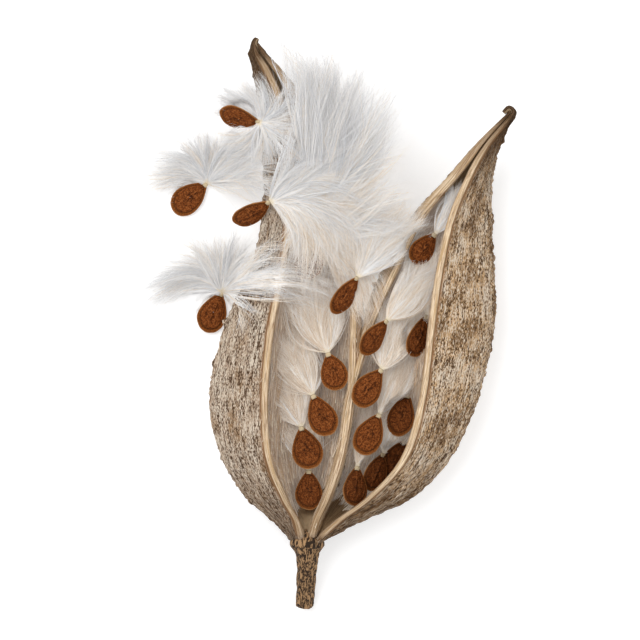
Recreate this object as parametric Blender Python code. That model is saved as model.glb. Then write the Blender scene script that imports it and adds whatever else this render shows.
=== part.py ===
"""A dry milkweed pod, split open and lying on its back, with its seeds and their silk.

Run with: blender --background --python part.py

Lengths in the tables are millimetres from the throat, the point where the rims of the husk meet
above the stalk. +Y runs from the stalk to the two beaks, +X to the right-hand lobe and +Z up, out
of the open side. At the end the whole pod is set down with its lowest point at Z 0 and the centre
of its bounding box over the origin.
"""

import math
from collections import namedtuple

import bmesh
import bpy
from mathutils import Matrix, Vector

MM = 0.001

# Husk
WALL = 1.2  # thickness of the dry shell
RIM_HALF = 0.8  # half the width of the pale edge along each opening
EQUATOR = 0.5  # height of a lobe's widest line, as a share of the way from belly to rim
LIP_ANGLE = math.radians(65)  # how far the wall curls in from the widest line to the rim
STEPS_PER_QUARTER = 6  # points in each quarter of a cross-section
STATION_STEPS = 2  # rings between two neighbouring stations
CAVITY_HEADROOM = 8.0  # how far a cavity cutter reaches above the rims
RESTING_DIP = 0.5  # how deep the bellies would reach below the surface that flattens them

# Seeds and silk
SEED_THICKNESS = 1.1
SILK_GAP = 0.4  # from a seed's narrow end to its tuft
BRUSH_ROOT_HALF = 0.45  # half-width of a tuft where its hairs are bunched
BRUSH_HALF_THICKNESS = 0.55
SHEET_THICKNESS = 1.0

# One cross-section of a lobe, square to Y. outer and inner are its widest points, near and far the
# middles of its two rims, rim_z and far_z their heights, and belly_z its lowest point.
Station = namedtuple("Station", "y outer near far inner rim_z far_z belly_z")
BeakPoint = namedtuple("BeakPoint", "x y z radius")
Seed = namedtuple("Seed", "x y z heading pitch roll length width")
Brush = namedtuple("Brush", "heading pitch length end_half_width")
Row = namedtuple("Row", "ax ay az bx by bz")
Colour = namedtuple("Colour", "red green blue roughness")

LEFT_LOBE = [
    Station(-1.2, -3.9, -1.8, 0.0, 1.2, 9.6, 9.4, 4.4),
    Station(3.0, -7.9, -2.9, 1.2, 2.6, 11.2, 10.0, 2.8),
    Station(8.0, -13.5, -5.5, 3.4, 4.7, 13.2, 11.0, 1.0),
    Station(16.0, -18.1, -8.5, 6.0, 7.2, 15.2, 12.0, -RESTING_DIP),
    Station(28.0, -20.3, -9.2, 8.0, 9.2, 16.0, 12.8, -RESTING_DIP),
    Station(42.0, -17.4, -7.9, 8.6, 10.6, 15.8, 13.2, -RESTING_DIP),
    Station(54.0, -12.1, -5.5, 7.6, 9.8, 15.4, 13.4, -RESTING_DIP),
    Station(66.0, -9.6, -4.2, 3.8, 6.0, 14.6, 13.2, 1.0),
    Station(78.0, -9.6, -3.9, -0.5, 1.4, 13.4, 12.6, 3.4),
    Station(88.0, -10.7, -6.5, -3.6, -2.2, 12.2, 12.0, 6.2),
    Station(94.0, -11.9, -9.2, -7.4, -6.4, 11.5, 11.4, 7.9),
]
LEFT_BEAK = [
    BeakPoint(-10.4, 96.4, 10.0, 1.35),
    BeakPoint(-11.2, 98.4, 10.4, 0.8),
    BeakPoint(-10.8, 99.5, 10.8, 0.45),
]
RIGHT_LOBE = [
    Station(-1.2, 2.7, 1.2, 0.0, -1.2, 9.6, 9.4, 4.4),
    Station(3.0, 10.9, 5.7, 1.2, 0.0, 11.2, 10.0, 2.6),
    Station(8.0, 21.2, 12.2, 3.4, 2.2, 13.2, 11.0, 1.0),
    Station(16.0, 28.6, 18.9, 6.0, 4.8, 15.2, 12.0, -RESTING_DIP),
    Station(28.0, 33.9, 22.4, 8.0, 6.8, 16.0, 12.8, -RESTING_DIP),
    Station(42.0, 37.0, 24.1, 12.0, 10.0, 16.0, 13.2, -RESTING_DIP),
    Station(54.0, 36.6, 25.9, 17.2, 15.0, 15.6, 13.4, -RESTING_DIP),
    Station(64.0, 36.3, 28.3, 22.3, 20.2, 14.8, 13.4, 1.6),
    Station(72.0, 36.5, 31.7, 29.2, 27.6, 13.8, 13.0, 4.4),
    Station(78.0, 38.0, 35.0, 33.9, 32.8, 12.8, 12.6, 7.2),
    Station(81.5, 39.5, 37.6, 37.1, 36.2, 12.0, 12.0, 8.8),
]
RIGHT_BEAK = [
    BeakPoint(39.5, 83.6, 10.8, 1.0),
    BeakPoint(40.3, 84.8, 11.2, 0.75),
    BeakPoint(39.6, 85.5, 11.4, 0.55),
    BeakPoint(38.6, 84.6, 11.3, 0.45),
]
# The stretch of each lobe that is hollow, along Y.
LEFT_HOLLOW = (1.6, 89.0)
RIGHT_HOLLOW = (1.6, 71.0)

# The stalk's centre line, from its broad top down to the cut end that touches the surface.
STALK = [
    BeakPoint(-0.7, -1.65, 7.0, 3.3),
    BeakPoint(-0.7, -2.7, 7.0, 3.0),
    BeakPoint(-0.7, -4.4, 6.6, 2.2),
    BeakPoint(-0.9, -8.0, 4.9, 1.95),
    BeakPoint(-1.3, -14.4, 1.85, 1.85),
]

# heading turns the narrow end from +X, in degrees; pitch lowers it; roll tips the flat sides.
SEEDS = {
    "seed_left_row_1": Seed(-0.4, 9.0, 8.2, 90, 8, 0, 8.0, 5.2),
    "seed_left_row_2": Seed(-1.1, 17.5, 9.4, 104, 10, 6, 8.8, 5.8),
    "seed_left_row_3": Seed(1.8, 24.2, 10.6, 113, 10, 0, 8.8, 5.4),
    "seed_left_row_4": Seed(4.3, 32.9, 11.6, 107, 10, -8, 7.8, 5.2),
    "seed_right_row_1": Seed(9.0, 9.8, 8.6, 84, 8, 25, 8.0, 5.0),
    "seed_right_row_2": Seed(12.1, 20.4, 10.4, 64, 8, 6, 9.0, 5.4),
    "seed_right_row_3": Seed(11.9, 29.8, 13.2, 55, 8, 14, 8.9, 5.3),
    "seed_right_row_4": Seed(12.8, 39.9, 15.4, 52, 10, 40, 8.5, 5.0),
    "seed_under_rim_1": Seed(13.4, 12.6, 5.9, 69, 6, 28, 8.0, 4.8),
    "seed_under_rim_2": Seed(17.3, 15.2, 3.5, 62, 4, 14, 8.4, 4.8),
    "seed_under_rim_3": Seed(18.6, 24.0, 6.6, 74, 6, -16, 8.8, 5.2),
    "seed_under_rim_4": Seed(21.9, 40.0, 11.4, 69, 6, 36, 8.8, 5.0),
    "seed_under_rim_5": Seed(22.8, 57.6, 12.0, 51, 6, 22, 7.4, 4.7),
    "seed_on_ridge": Seed(7.0, 48.2, 15.8, 55, 0, 42, 8.7, 5.0),
    "seed_loose_1": Seed(-19.4, 44.8, 0.9, 68, -3, 0, 8.6, 5.4),
    "seed_loose_2": Seed(-24.3, 68.2, 0.9, 40, -3, 0, 8.8, 5.3),
    "seed_loose_3": Seed(-11.6, 64.7, 13.0, 31, -22, 42, 8.9, 5.0),
    "seed_loose_4": Seed(-14.3, 83.4, 11.6, -24, -12, 40, 8.5, 5.0),
    "seed_in_fluff_1": Seed(0.4, 55.2, 13.6, 60, -6, 0, 8.2, 5.0),
    "seed_in_fluff_2": Seed(-0.2, 62.4, 13.5, 66, -6, 0, 8.0, 4.8),
    "seed_in_fluff_3": Seed(-0.9, 70.2, 12.6, 84, -12, 0, 7.4, 3.8),
}

# Closed tufts, each a flattened brush that widens from its seed.
BRUSHES = {
    "seed_left_row_1": Brush(93, 10, 17, 2.4),
    "seed_left_row_2": Brush(99, 10, 18, 3.4),
    "seed_left_row_3": Brush(105, 10, 18, 4.4),
    "seed_left_row_4": Brush(105, 10, 18, 5.0),
    "seed_right_row_1": Brush(72, 8, 14, 1.8),
    "seed_right_row_2": Brush(60, 13, 13, 2.4),
    "seed_right_row_3": Brush(66, 13, 13, 2.4),
    "seed_right_row_4": Brush(58, 17, 11, 2.2),
    "seed_under_rim_1": Brush(62, 3, 12, 1.7),
    "seed_under_rim_2": Brush(74, 1, 12, 1.8),
    "seed_under_rim_3": Brush(88, 5, 15, 2.4),
    "seed_under_rim_4": Brush(80, 2, 12, 1.6),
    "seed_under_rim_5": Brush(66, 8, 8, 0.8),
    "seed_on_ridge": Brush(47, -1, 19, 2.8),
    "seed_in_fluff_1": Brush(58, -7, 25, 2.4),
    "seed_in_fluff_2": Brush(66, -8, 26, 2.4),
    "seed_in_fluff_3": Brush(86, -15, 20, 1.8),
}

# Spread tufts: the two edges of a sheet of hairs, row by row from the seed.
DRAPES = {
    "seed_loose_1": [
        Row(-18.2, 49.6, 1.4, -17.4, 49.2, 1.4),
        Row(-15.0, 53.5, 8.2, -17.6, 47.8, 8.2),
        Row(-12.4, 56.0, 13.8, -15.4, 47.4, 13.8),
        Row(-7.5, 57.5, 17.2, -10.5, 47.0, 17.4),
        Row(0.0, 56.0, 18.0, -1.0, 49.0, 18.2),
        Row(4.5, 53.5, 18.2, 4.5, 50.5, 18.2),
    ],
    "seed_loose_2": [
        Row(-20.6, 71.8, 1.5, -20.1, 71.1, 1.5),
        Row(-17.5, 77.5, 6.5, -14.6, 70.5, 8.0),
        Row(-12.9, 77.8, 12.6, -8.6, 71.0, 15.6),
        Row(-9.8, 77.5, 15.6, -6.0, 72.0, 16.8),
    ],
    "seed_loose_3": [
        Row(-7.5, 67.8, 15.2, -7.1, 67.2, 15.2),
        Row(-1.0, 73.5, 18.0, -2.5, 60.5, 18.3),
        Row(6.0, 77.5, 19.6, 2.5, 57.0, 19.6),
        Row(12.0, 77.0, 19.8, 7.0, 56.5, 19.8),
        Row(15.5, 70.0, 19.6, 13.0, 60.0, 19.6),
    ],
    "seed_loose_4": [
        Row(-9.7, 81.3, 13.4, -9.3, 80.7, 13.4),
        Row(-15.0, 88.5, 15.4, -5.5, 82.5, 16.0),
        Row(-16.0, 91.0, 16.2, -3.6, 87.0, 17.0),
        Row(-12.0, 93.5, 16.6, -5.0, 92.5, 17.0),
    ],
}

COLOURS = {
    "husk": Colour(0.46, 0.38, 0.29, 0.85),
    "stalk": Colour(0.30, 0.21, 0.13, 0.85),
    "seed": Colour(0.27, 0.10, 0.035, 0.6),
    "silk": Colour(0.90, 0.89, 0.86, 0.45),
}


def clear_scene():
    for obj in list(bpy.data.objects):
        bpy.data.objects.remove(obj, do_unlink=True)


def collection(name):
    made = bpy.data.collections.new(name)
    bpy.context.scene.collection.children.link(made)
    return made


def material(name):
    """A plain finish with the part's own colour and roughness."""
    colour = COLOURS[name]
    made = bpy.data.materials.new(name)
    made.use_nodes = True
    shader = made.node_tree.nodes["Principled BSDF"]
    shader.inputs["Base Color"].default_value = (colour.red, colour.green, colour.blue, 1)
    shader.inputs["Roughness"].default_value = colour.roughness
    shader.inputs["Metallic"].default_value = 0
    return made


def new_object(name, data, group, finish=None):
    obj = bpy.data.objects.new(name, data)
    group.objects.link(obj)
    if finish is not None and not data.materials:
        data.materials.append(finish)
    return obj


def between(rows, steps):
    """The rows with points added between them on a smooth curve, as tuples of the same kind."""
    kind = type(rows[0])
    made = []
    for i in range(len(rows) - 1):
        before = rows[max(i - 1, 0)]
        after = rows[min(i + 2, len(rows) - 1)]
        for step in range(steps):
            t = step / steps
            made.append(kind(*(
                0.5 * (2 * b + (c - a) * t + (2 * a - 5 * b + 4 * c - d) * t**2
                       + (3 * b - a - 3 * c + d) * t**3)
                for a, b, c, d in zip(before, rows[i], rows[i + 1], after)
            )))
    return made + [rows[-1]]


def loft(name, rings):
    """A closed mesh through rings of equally many points, with a flat cap at each end."""
    shape = bmesh.new()
    rows = [[shape.verts.new(Vector(point) * MM) for point in ring] for ring in rings]
    count = len(rows[0])
    for low, high in zip(rows, rows[1:]):
        for i in range(count):
            j = (i + 1) % count
            shape.faces.new((low[i], low[j], high[j], high[i]))
    shape.faces.new(reversed(rows[0]))
    shape.faces.new(rows[-1])
    if shape.calc_volume(signed=True) < 0:
        bmesh.ops.reverse_faces(shape, faces=shape.faces)
    mesh = bpy.data.meshes.new(name)
    shape.to_mesh(mesh)
    shape.free()
    return mesh


def quarter(steps):
    return [i / steps for i in range(steps + 1)]


def wall_line(station, side):
    """One cross-section's wall, from the near rim round the outer side and belly to the far rim.

    side is 1 where the near rim is right of the far rim, and -1 where it is left of it.
    """
    widest = station.belly_z + EQUATOR * (station.rim_z - station.belly_z)
    far_widest = station.belly_z + EQUATOR * (station.far_z - station.belly_z)
    bottom = (station.outer + station.inner) / 2
    line = []
    for share in quarter(STEPS_PER_QUARTER):
        a = LIP_ANGLE * (1 - share)
        in_from_widest = (1 - math.cos(a)) / (1 - math.cos(LIP_ANGLE))
        line.append((
            station.outer + (station.near - station.outer) * in_from_widest,
            widest + (station.rim_z - widest) * math.sin(a) / math.sin(LIP_ANGLE),
        ))
    for share in quarter(STEPS_PER_QUARTER)[1:]:
        a = math.pi / 2 * share
        line.append((
            bottom + (station.outer - bottom) * math.cos(a),
            widest - (widest - station.belly_z) * math.sin(a),
        ))
    for share in quarter(STEPS_PER_QUARTER)[1:]:
        a = math.pi / 2 * (1 - share)
        line.append((
            bottom + (station.inner - bottom) * math.cos(a),
            far_widest - (far_widest - station.belly_z) * math.sin(a),
        ))
    for share in quarter(STEPS_PER_QUARTER)[1:]:
        a = LIP_ANGLE * share
        in_from_widest = (1 - math.cos(a)) / (1 - math.cos(LIP_ANGLE))
        line.append((
            station.inner + (station.far - station.inner) * in_from_widest,
            far_widest + (station.far_z - far_widest) * math.sin(a) / math.sin(LIP_ANGLE),
        ))
    return line


def outer_ring(station, side):
    """The outside of a lobe at one station, closed straight across its opening."""
    lips = station._replace(
        near=station.near + side * RIM_HALF, far=station.far - side * RIM_HALF
    )
    return [(x, station.y, max(z, 0.0)) for x, z in wall_line(lips, side)]


def inner_ring(station, side):
    """The inside of a lobe at one station, carried up through its opening."""
    inset = min(WALL, 0.38 * abs(station.outer - station.inner))
    hollow = station._replace(
        outer=station.outer - side * inset,
        inner=station.inner + side * inset,
        near=station.near - side * RIM_HALF,
        far=station.far + side * RIM_HALF,
        rim_z=station.rim_z - WALL,
        far_z=station.far_z - WALL,
        belly_z=max(station.belly_z, 0.0) + WALL,
    )
    line = wall_line(hollow, side)
    top = station.rim_z + CAVITY_HEADROOM
    line = [(line[0][0], top), *line, (line[-1][0], top)]
    return [(x, station.y, z) for x, z in line]


def beak_rings(points, side, count):
    """Round rings along the beak, starting from the near rim's side as a lobe's rings do."""
    rings = []
    for i, point in enumerate(points):
        back, ahead = points[max(i - 1, 0)], points[min(i + 1, len(points) - 1)]
        along = Vector(ahead[:3]) - Vector(back[:3])
        across = along.cross(Vector((0, 0, 1))).normalized() * side
        up = across.cross(along).normalized() * side
        centre = Vector(point[:3])
        ring = []
        for step in range(count):
            turn = math.radians(80) - math.radians(340) * step / (count - 1)
            ring.append(centre + point.radius * (across * math.cos(turn) + up * math.sin(turn)))
        rings.append(ring)
    return rings


def lobe_solid(name, stations, beak, side):
    rings = [outer_ring(station, side) for station in between(stations, STATION_STEPS)]
    rings += beak_rings(between(beak, STATION_STEPS), side, len(rings[0]))
    return loft(name, rings)


def lobe_hollow(name, stations, stretch, side):
    first, last = stretch
    inside = [s for s in between(stations, 2 * STATION_STEPS) if first <= s.y <= last]
    kept = inside[::STATION_STEPS]
    if kept[-1] is not inside[-1]:
        kept.append(inside[-1])
    rings = [inner_ring(station, side) for station in kept]
    return loft(name, rings)


def boolean(obj, operation, other):
    made = obj.modifiers.new(f"{operation.lower()} {other.name}", "BOOLEAN")
    made.operation = operation
    made.solver = "EXACT"
    made.object = other


def helper(name, mesh, group):
    """A shape that only joins or cuts another, and isn't part of the pod."""
    obj = new_object(name, mesh, group)
    obj.hide_render = True
    obj.display_type = "WIRE"
    return obj


def build_husk(group, cutters, finish):
    """Both lobes as one grown piece: two boats that share a wall up to where they part."""
    husk = new_object("husk", lobe_solid("husk", LEFT_LOBE, LEFT_BEAK, -1), group, finish)
    right = helper("right_lobe", lobe_solid("right_lobe", RIGHT_LOBE, RIGHT_BEAK, 1), cutters)
    left_hollow = helper(
        "left_hollow", lobe_hollow("left_hollow", LEFT_LOBE, LEFT_HOLLOW, -1), cutters
    )
    right_hollow = helper(
        "right_hollow", lobe_hollow("right_hollow", RIGHT_LOBE, RIGHT_HOLLOW, 1), cutters
    )
    boolean(husk, "UNION", right)
    boolean(husk, "DIFFERENCE", left_hollow)
    boolean(husk, "DIFFERENCE", right_hollow)
    return husk


def build_stalk(group, finish):
    """The stub of stalk, broad where it carries the husk and cut square at its foot."""
    curve = bpy.data.curves.new("stalk", "CURVE")
    curve.dimensions = "3D"
    curve.bevel_depth = MM
    curve.bevel_resolution = 4
    curve.use_fill_caps = True
    spline = curve.splines.new("POLY")
    points = between(STALK, STATION_STEPS)
    spline.points.add(len(points) - 1)
    for target, point in zip(spline.points, points):
        target.co = (*(Vector(point[:3]) * MM), 1)
        target.radius = point.radius
    return new_object("stalk", curve, group, finish)


def seed_mesh(finish):
    """A seed of unit half-length: flat, egg-shaped, its narrow end at +Y."""
    shape = bmesh.new()
    bmesh.ops.create_uvsphere(
        shape, u_segments=14, v_segments=9, radius=1, matrix=Matrix.Rotation(math.pi / 2, 4, "X")
    )
    for vertex in shape.verts:
        vertex.co.x *= 1 - 0.28 * vertex.co.y - 0.08 * vertex.co.y**2
    bmesh.ops.recalc_face_normals(shape, faces=shape.faces)
    mesh = bpy.data.meshes.new("seed")
    shape.to_mesh(mesh)
    shape.free()
    mesh.materials.append(finish)
    return mesh


def facing(heading, pitch, roll=0.0):
    """Turns +Y to a heading from +X, then lowers it by pitch and tips it about itself."""
    return (
        Matrix.Rotation(math.radians(heading - 90), 4, "Z")
        @ Matrix.Rotation(math.radians(-pitch), 4, "X")
        @ Matrix.Rotation(math.radians(roll), 4, "Y")
    )


def build_seed(name, seed, mesh, group):
    obj = new_object(name, mesh, group)
    size = Matrix.Diagonal((seed.width / 2, seed.length / 2, SEED_THICKNESS / 2, 1))
    place = Matrix.Translation(Vector((seed.x, seed.y, seed.z)) * MM)
    obj.matrix_world = place @ facing(seed.heading, seed.pitch, seed.roll) @ Matrix.Scale(MM, 4) @ size
    return obj


def silk_root(seed):
    """Where a seed's tuft starts, just past its narrow end."""
    reach = seed.length / 2 + SILK_GAP
    return Vector((seed.x, seed.y, seed.z)) + facing(seed.heading, seed.pitch) @ Vector((0, reach, 0))


def build_brush(name, root, brush, group, finish):
    """A closed tuft: rings that widen from the seed and close over the hairs' ends."""
    stages = [(0.0, 0.0, 0.8), (0.12, 0.16, 0.9), (0.5, 0.62, 1.0), (0.88, 1.0, 1.0), (1.0, 0.8, 0.5)]
    sides = 8
    rings = []
    for along, spread, thickness in stages:
        half_width = BRUSH_ROOT_HALF + (brush.end_half_width - BRUSH_ROOT_HALF) * spread
        half_height = BRUSH_HALF_THICKNESS * thickness
        rings.append([
            (
                half_width * math.cos(2 * math.pi * i / sides),
                brush.length * along,
                half_height * math.sin(2 * math.pi * i / sides),
            )
            for i in range(sides)
        ])
    obj = new_object(name, loft(name, rings), group, finish)
    obj.matrix_world = Matrix.Translation(root * MM) @ facing(brush.heading, brush.pitch)
    return obj


def build_drape(name, rows, group, finish):
    """A spread tuft: a sheet of even thickness between its two edges."""
    rings = []
    for row in between(rows, STATION_STEPS):
        one, other = Vector(row[:3]), Vector(row[3:])
        half = Vector((0, 0, SHEET_THICKNESS / 2))
        rings.append([one + half, other + half, other - half, one - half])
    return new_object(name, loft(name, rings), group, finish)


def world_box(objects):
    """The lowest and highest corner of these objects as the viewport shows them."""
    bpy.context.view_layer.update()
    graph = bpy.context.evaluated_depsgraph_get()
    low, high = Vector((math.inf,) * 3), Vector((-math.inf,) * 3)
    for obj in objects:
        shown = obj.evaluated_get(graph)
        mesh = shown.to_mesh()
        for vertex in mesh.vertices:
            point = shown.matrix_world @ vertex.co
            low = Vector(map(min, low, point))
            high = Vector(map(max, high, point))
        shown.to_mesh_clear()
    return low, high


def set_down(objects):
    """Carries every piece on one empty, and moves that so the origin is at the bottom's centre."""
    low, high = world_box(objects)
    frame = bpy.data.objects.new("pod_frame", None)
    bpy.context.scene.collection.objects.link(frame)
    for obj in objects:
        obj.parent = frame
    frame.location = (-(low.x + high.x) / 2, -(low.y + high.y) / 2, -low.z)


def main():
    clear_scene()
    pod = collection("milkweed_pod")
    cutters = collection("cutters")
    finishes = {name: material(name) for name in COLOURS}
    pieces = [build_husk(pod, cutters, finishes["husk"]), build_stalk(pod, finishes["stalk"])]
    mesh = seed_mesh(finishes["seed"])
    for name, seed in SEEDS.items():
        pieces.append(build_seed(name, seed, mesh, pod))
        silk_name = name.replace("seed", "silk")
        if name in DRAPES:
            pieces.append(build_drape(silk_name, DRAPES[name], pod, finishes["silk"]))
        else:
            pieces.append(build_brush(silk_name, silk_root(seed), BRUSHES[name], pod, finishes["silk"]))
    set_down(pieces + list(cutters.objects))


if __name__ == "__main__":
    main()
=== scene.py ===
"""The looks of a dry milkweed pod: its speckled husk, its stalk, its seeds and their silk.

The pod lies on its back with its open side up. Lengths in the tables are millimetres from the
throat, the point where the rims of the husk meet above the stalk, as they are in the part.
"""

import logging
import math
from collections.abc import Sequence
from dataclasses import astuple, dataclass, field
from enum import Enum

import bpy
import numpy as np
from mathutils import Matrix, Vector


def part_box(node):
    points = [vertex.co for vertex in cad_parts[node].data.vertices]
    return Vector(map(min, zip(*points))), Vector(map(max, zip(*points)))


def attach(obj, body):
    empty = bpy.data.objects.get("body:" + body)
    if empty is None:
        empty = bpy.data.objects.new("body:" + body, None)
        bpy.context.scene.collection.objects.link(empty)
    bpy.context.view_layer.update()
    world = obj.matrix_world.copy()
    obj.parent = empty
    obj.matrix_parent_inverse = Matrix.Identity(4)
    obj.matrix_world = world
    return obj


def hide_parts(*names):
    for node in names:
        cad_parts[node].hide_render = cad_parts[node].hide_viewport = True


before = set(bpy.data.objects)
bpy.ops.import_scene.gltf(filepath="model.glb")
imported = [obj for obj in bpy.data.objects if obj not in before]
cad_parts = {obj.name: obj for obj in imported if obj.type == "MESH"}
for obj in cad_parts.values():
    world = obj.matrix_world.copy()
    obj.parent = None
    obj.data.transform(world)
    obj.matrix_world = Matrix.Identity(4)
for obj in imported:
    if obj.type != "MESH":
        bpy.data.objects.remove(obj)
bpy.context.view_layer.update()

MM = 0.001
log = logging.getLogger("milkweed_pod")

Point = tuple[float, float, float]
Colour = tuple[float, float, float]


# ---------------------------------------------------------------------------------------------
# Noise and curves


class Noise:
    """Smooth gradient noise over points in space, the same on each run."""

    def __init__(self, seed: int) -> None:
        """Draws the table of gradients.

        Args:
            seed: Picks one pattern.
        """
        chance = np.random.default_rng(seed)
        self.order = chance.permutation(256)
        gradients = chance.normal(size=(256, 3))
        self.gradients = gradients / np.linalg.norm(gradients, axis=1, keepdims=True)

    def __call__(self, places: np.ndarray) -> np.ndarray:
        """The noise at some places.

        Args:
            places: Points, with their coordinates on the last axis.

        Returns:
            A value from about -1 to 1 for each point.
        """
        cell = np.floor(places).astype(int)
        inside = places - cell
        fade = inside * inside * (3 - 2 * inside)
        total = np.zeros(places.shape[:-1])
        for corner in np.ndindex(2, 2, 2):
            x, y, z = ((cell[..., axis] + corner[axis]) % 256 for axis in range(3))
            slope = self.gradients[self.order[(self.order[(self.order[x] + y) % 256] + z) % 256]]
            weight = np.ones(places.shape[:-1])
            for axis in range(3):
                weight = weight * (fade[..., axis] if corner[axis] else 1 - fade[..., axis])
            total += weight * ((inside - np.array(corner)) * slope).sum(-1)
        return total * 1.6

    def layers(self, places: np.ndarray, count: int = 3) -> np.ndarray:
        """The noise with finer layers added, each twice as fine and half as strong.

        Args:
            places: Points, with their coordinates on the last axis.
            count: How many layers there are.

        Returns:
            A value for each point.
        """
        return sum(self(places * 2**i + 17.3 * i) / 2**i for i in range(count))


def smooth_rows(stops: "Sequence[Station | Bead]", steps: int) -> np.ndarray:
    """Rows of numbers on a smooth curve through some stops.

    Args:
        stops: The stops.
        steps: How many rows each gap between two stops becomes.

    Returns:
        The rows, the last stop's included.
    """
    rows = np.array([astuple(stop) for stop in stops])
    padded = np.vstack([rows[:1], rows, rows[-1:]])
    t = (np.arange(steps) / steps)[None, :, None]
    a, b, c, d = (padded[i : len(rows) - 1 + i, None, :] for i in range(4))
    made = 0.5 * (
        2 * b + (c - a) * t + (2 * a - 5 * b + 4 * c - d) * t**2 + (3 * b - a - 3 * c + d) * t**3
    )
    return np.vstack([made.reshape(-1, rows.shape[1]), rows[-1:]])


def smoothstep(low: float, high: float, value: np.ndarray) -> np.ndarray:
    """A smooth ramp, which falls where low is more than high.

    Args:
        low: Where it is 0.
        high: Where it is 1.
        value: Where it is read.

    Returns:
        The ramp at each value.
    """
    t = np.clip((value - low) / (high - low), 0, 1)
    return t * t * (3 - 2 * t)


def unit(vectors: np.ndarray) -> np.ndarray:
    """The vectors at length 1."""
    return vectors / np.maximum(np.linalg.norm(vectors, axis=-1, keepdims=True), 1e-9)


def circles(path: np.ndarray, turn: np.ndarray) -> np.ndarray:
    """Directions round a path, square to it.

    Args:
        path: The path's points, one to a row.
        turn: The angles of the directions.

    Returns:
        For each point of the path, a direction for each angle.
    """
    along = unit(np.gradient(path, axis=0))
    across = unit(np.cross(along, [0, 0, 1.0]))
    up = np.cross(across, along)
    cos, sin = np.cos(turn)[None, :, None], np.sin(turn)[None, :, None]
    return across[:, None] * cos + up[:, None] * sin


# ---------------------------------------------------------------------------------------------
# Shader expressions


class Signal:
    """A number that changes over a surface, so that shader maths reads as an expression."""

    def __init__(self, sheet: "Sheet", socket: bpy.types.NodeSocket) -> None:
        """Wraps a node's output.

        Args:
            sheet: The material that the node is in.
            socket: The output.
        """
        self.sheet = sheet
        self.socket = socket

    def _with(self, operation: str, *values: "Signal | float") -> "Signal":
        """Adds a Math node.

        Args:
            operation: What the node does.
            values: What it does it to.

        Returns:
            Its output.
        """
        made = self.sheet.node(
            "ShaderNodeMath", {"operation": operation}, {i: v for i, v in enumerate(values)}
        )
        return Signal(self.sheet, made.outputs[0])

    def __add__(self, other: "Signal | float") -> "Signal":
        """self + other"""
        return self._with("ADD", self, other)

    __radd__ = __add__

    def __sub__(self, other: "Signal | float") -> "Signal":
        """self - other"""
        return self._with("SUBTRACT", self, other)

    def __rsub__(self, other: float) -> "Signal":
        """other - self"""
        return self._with("SUBTRACT", other, self)

    def __mul__(self, other: "Signal | float") -> "Signal":
        """self * other"""
        return self._with("MULTIPLY", self, other)

    __rmul__ = __mul__

    def over(self, low: float, high: float) -> "Signal":
        """A smooth ramp of this signal.

        Args:
            low: Where the ramp is 0.
            high: Where it is 1.

        Returns:
            The ramp.
        """
        made = self.sheet.node(
            "ShaderNodeMapRange",
            {"interpolation_type": "SMOOTHSTEP"},
            {"Value": self, "From Min": low, "From Max": high},
        )
        return Signal(self.sheet, made.outputs["Result"])


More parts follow.
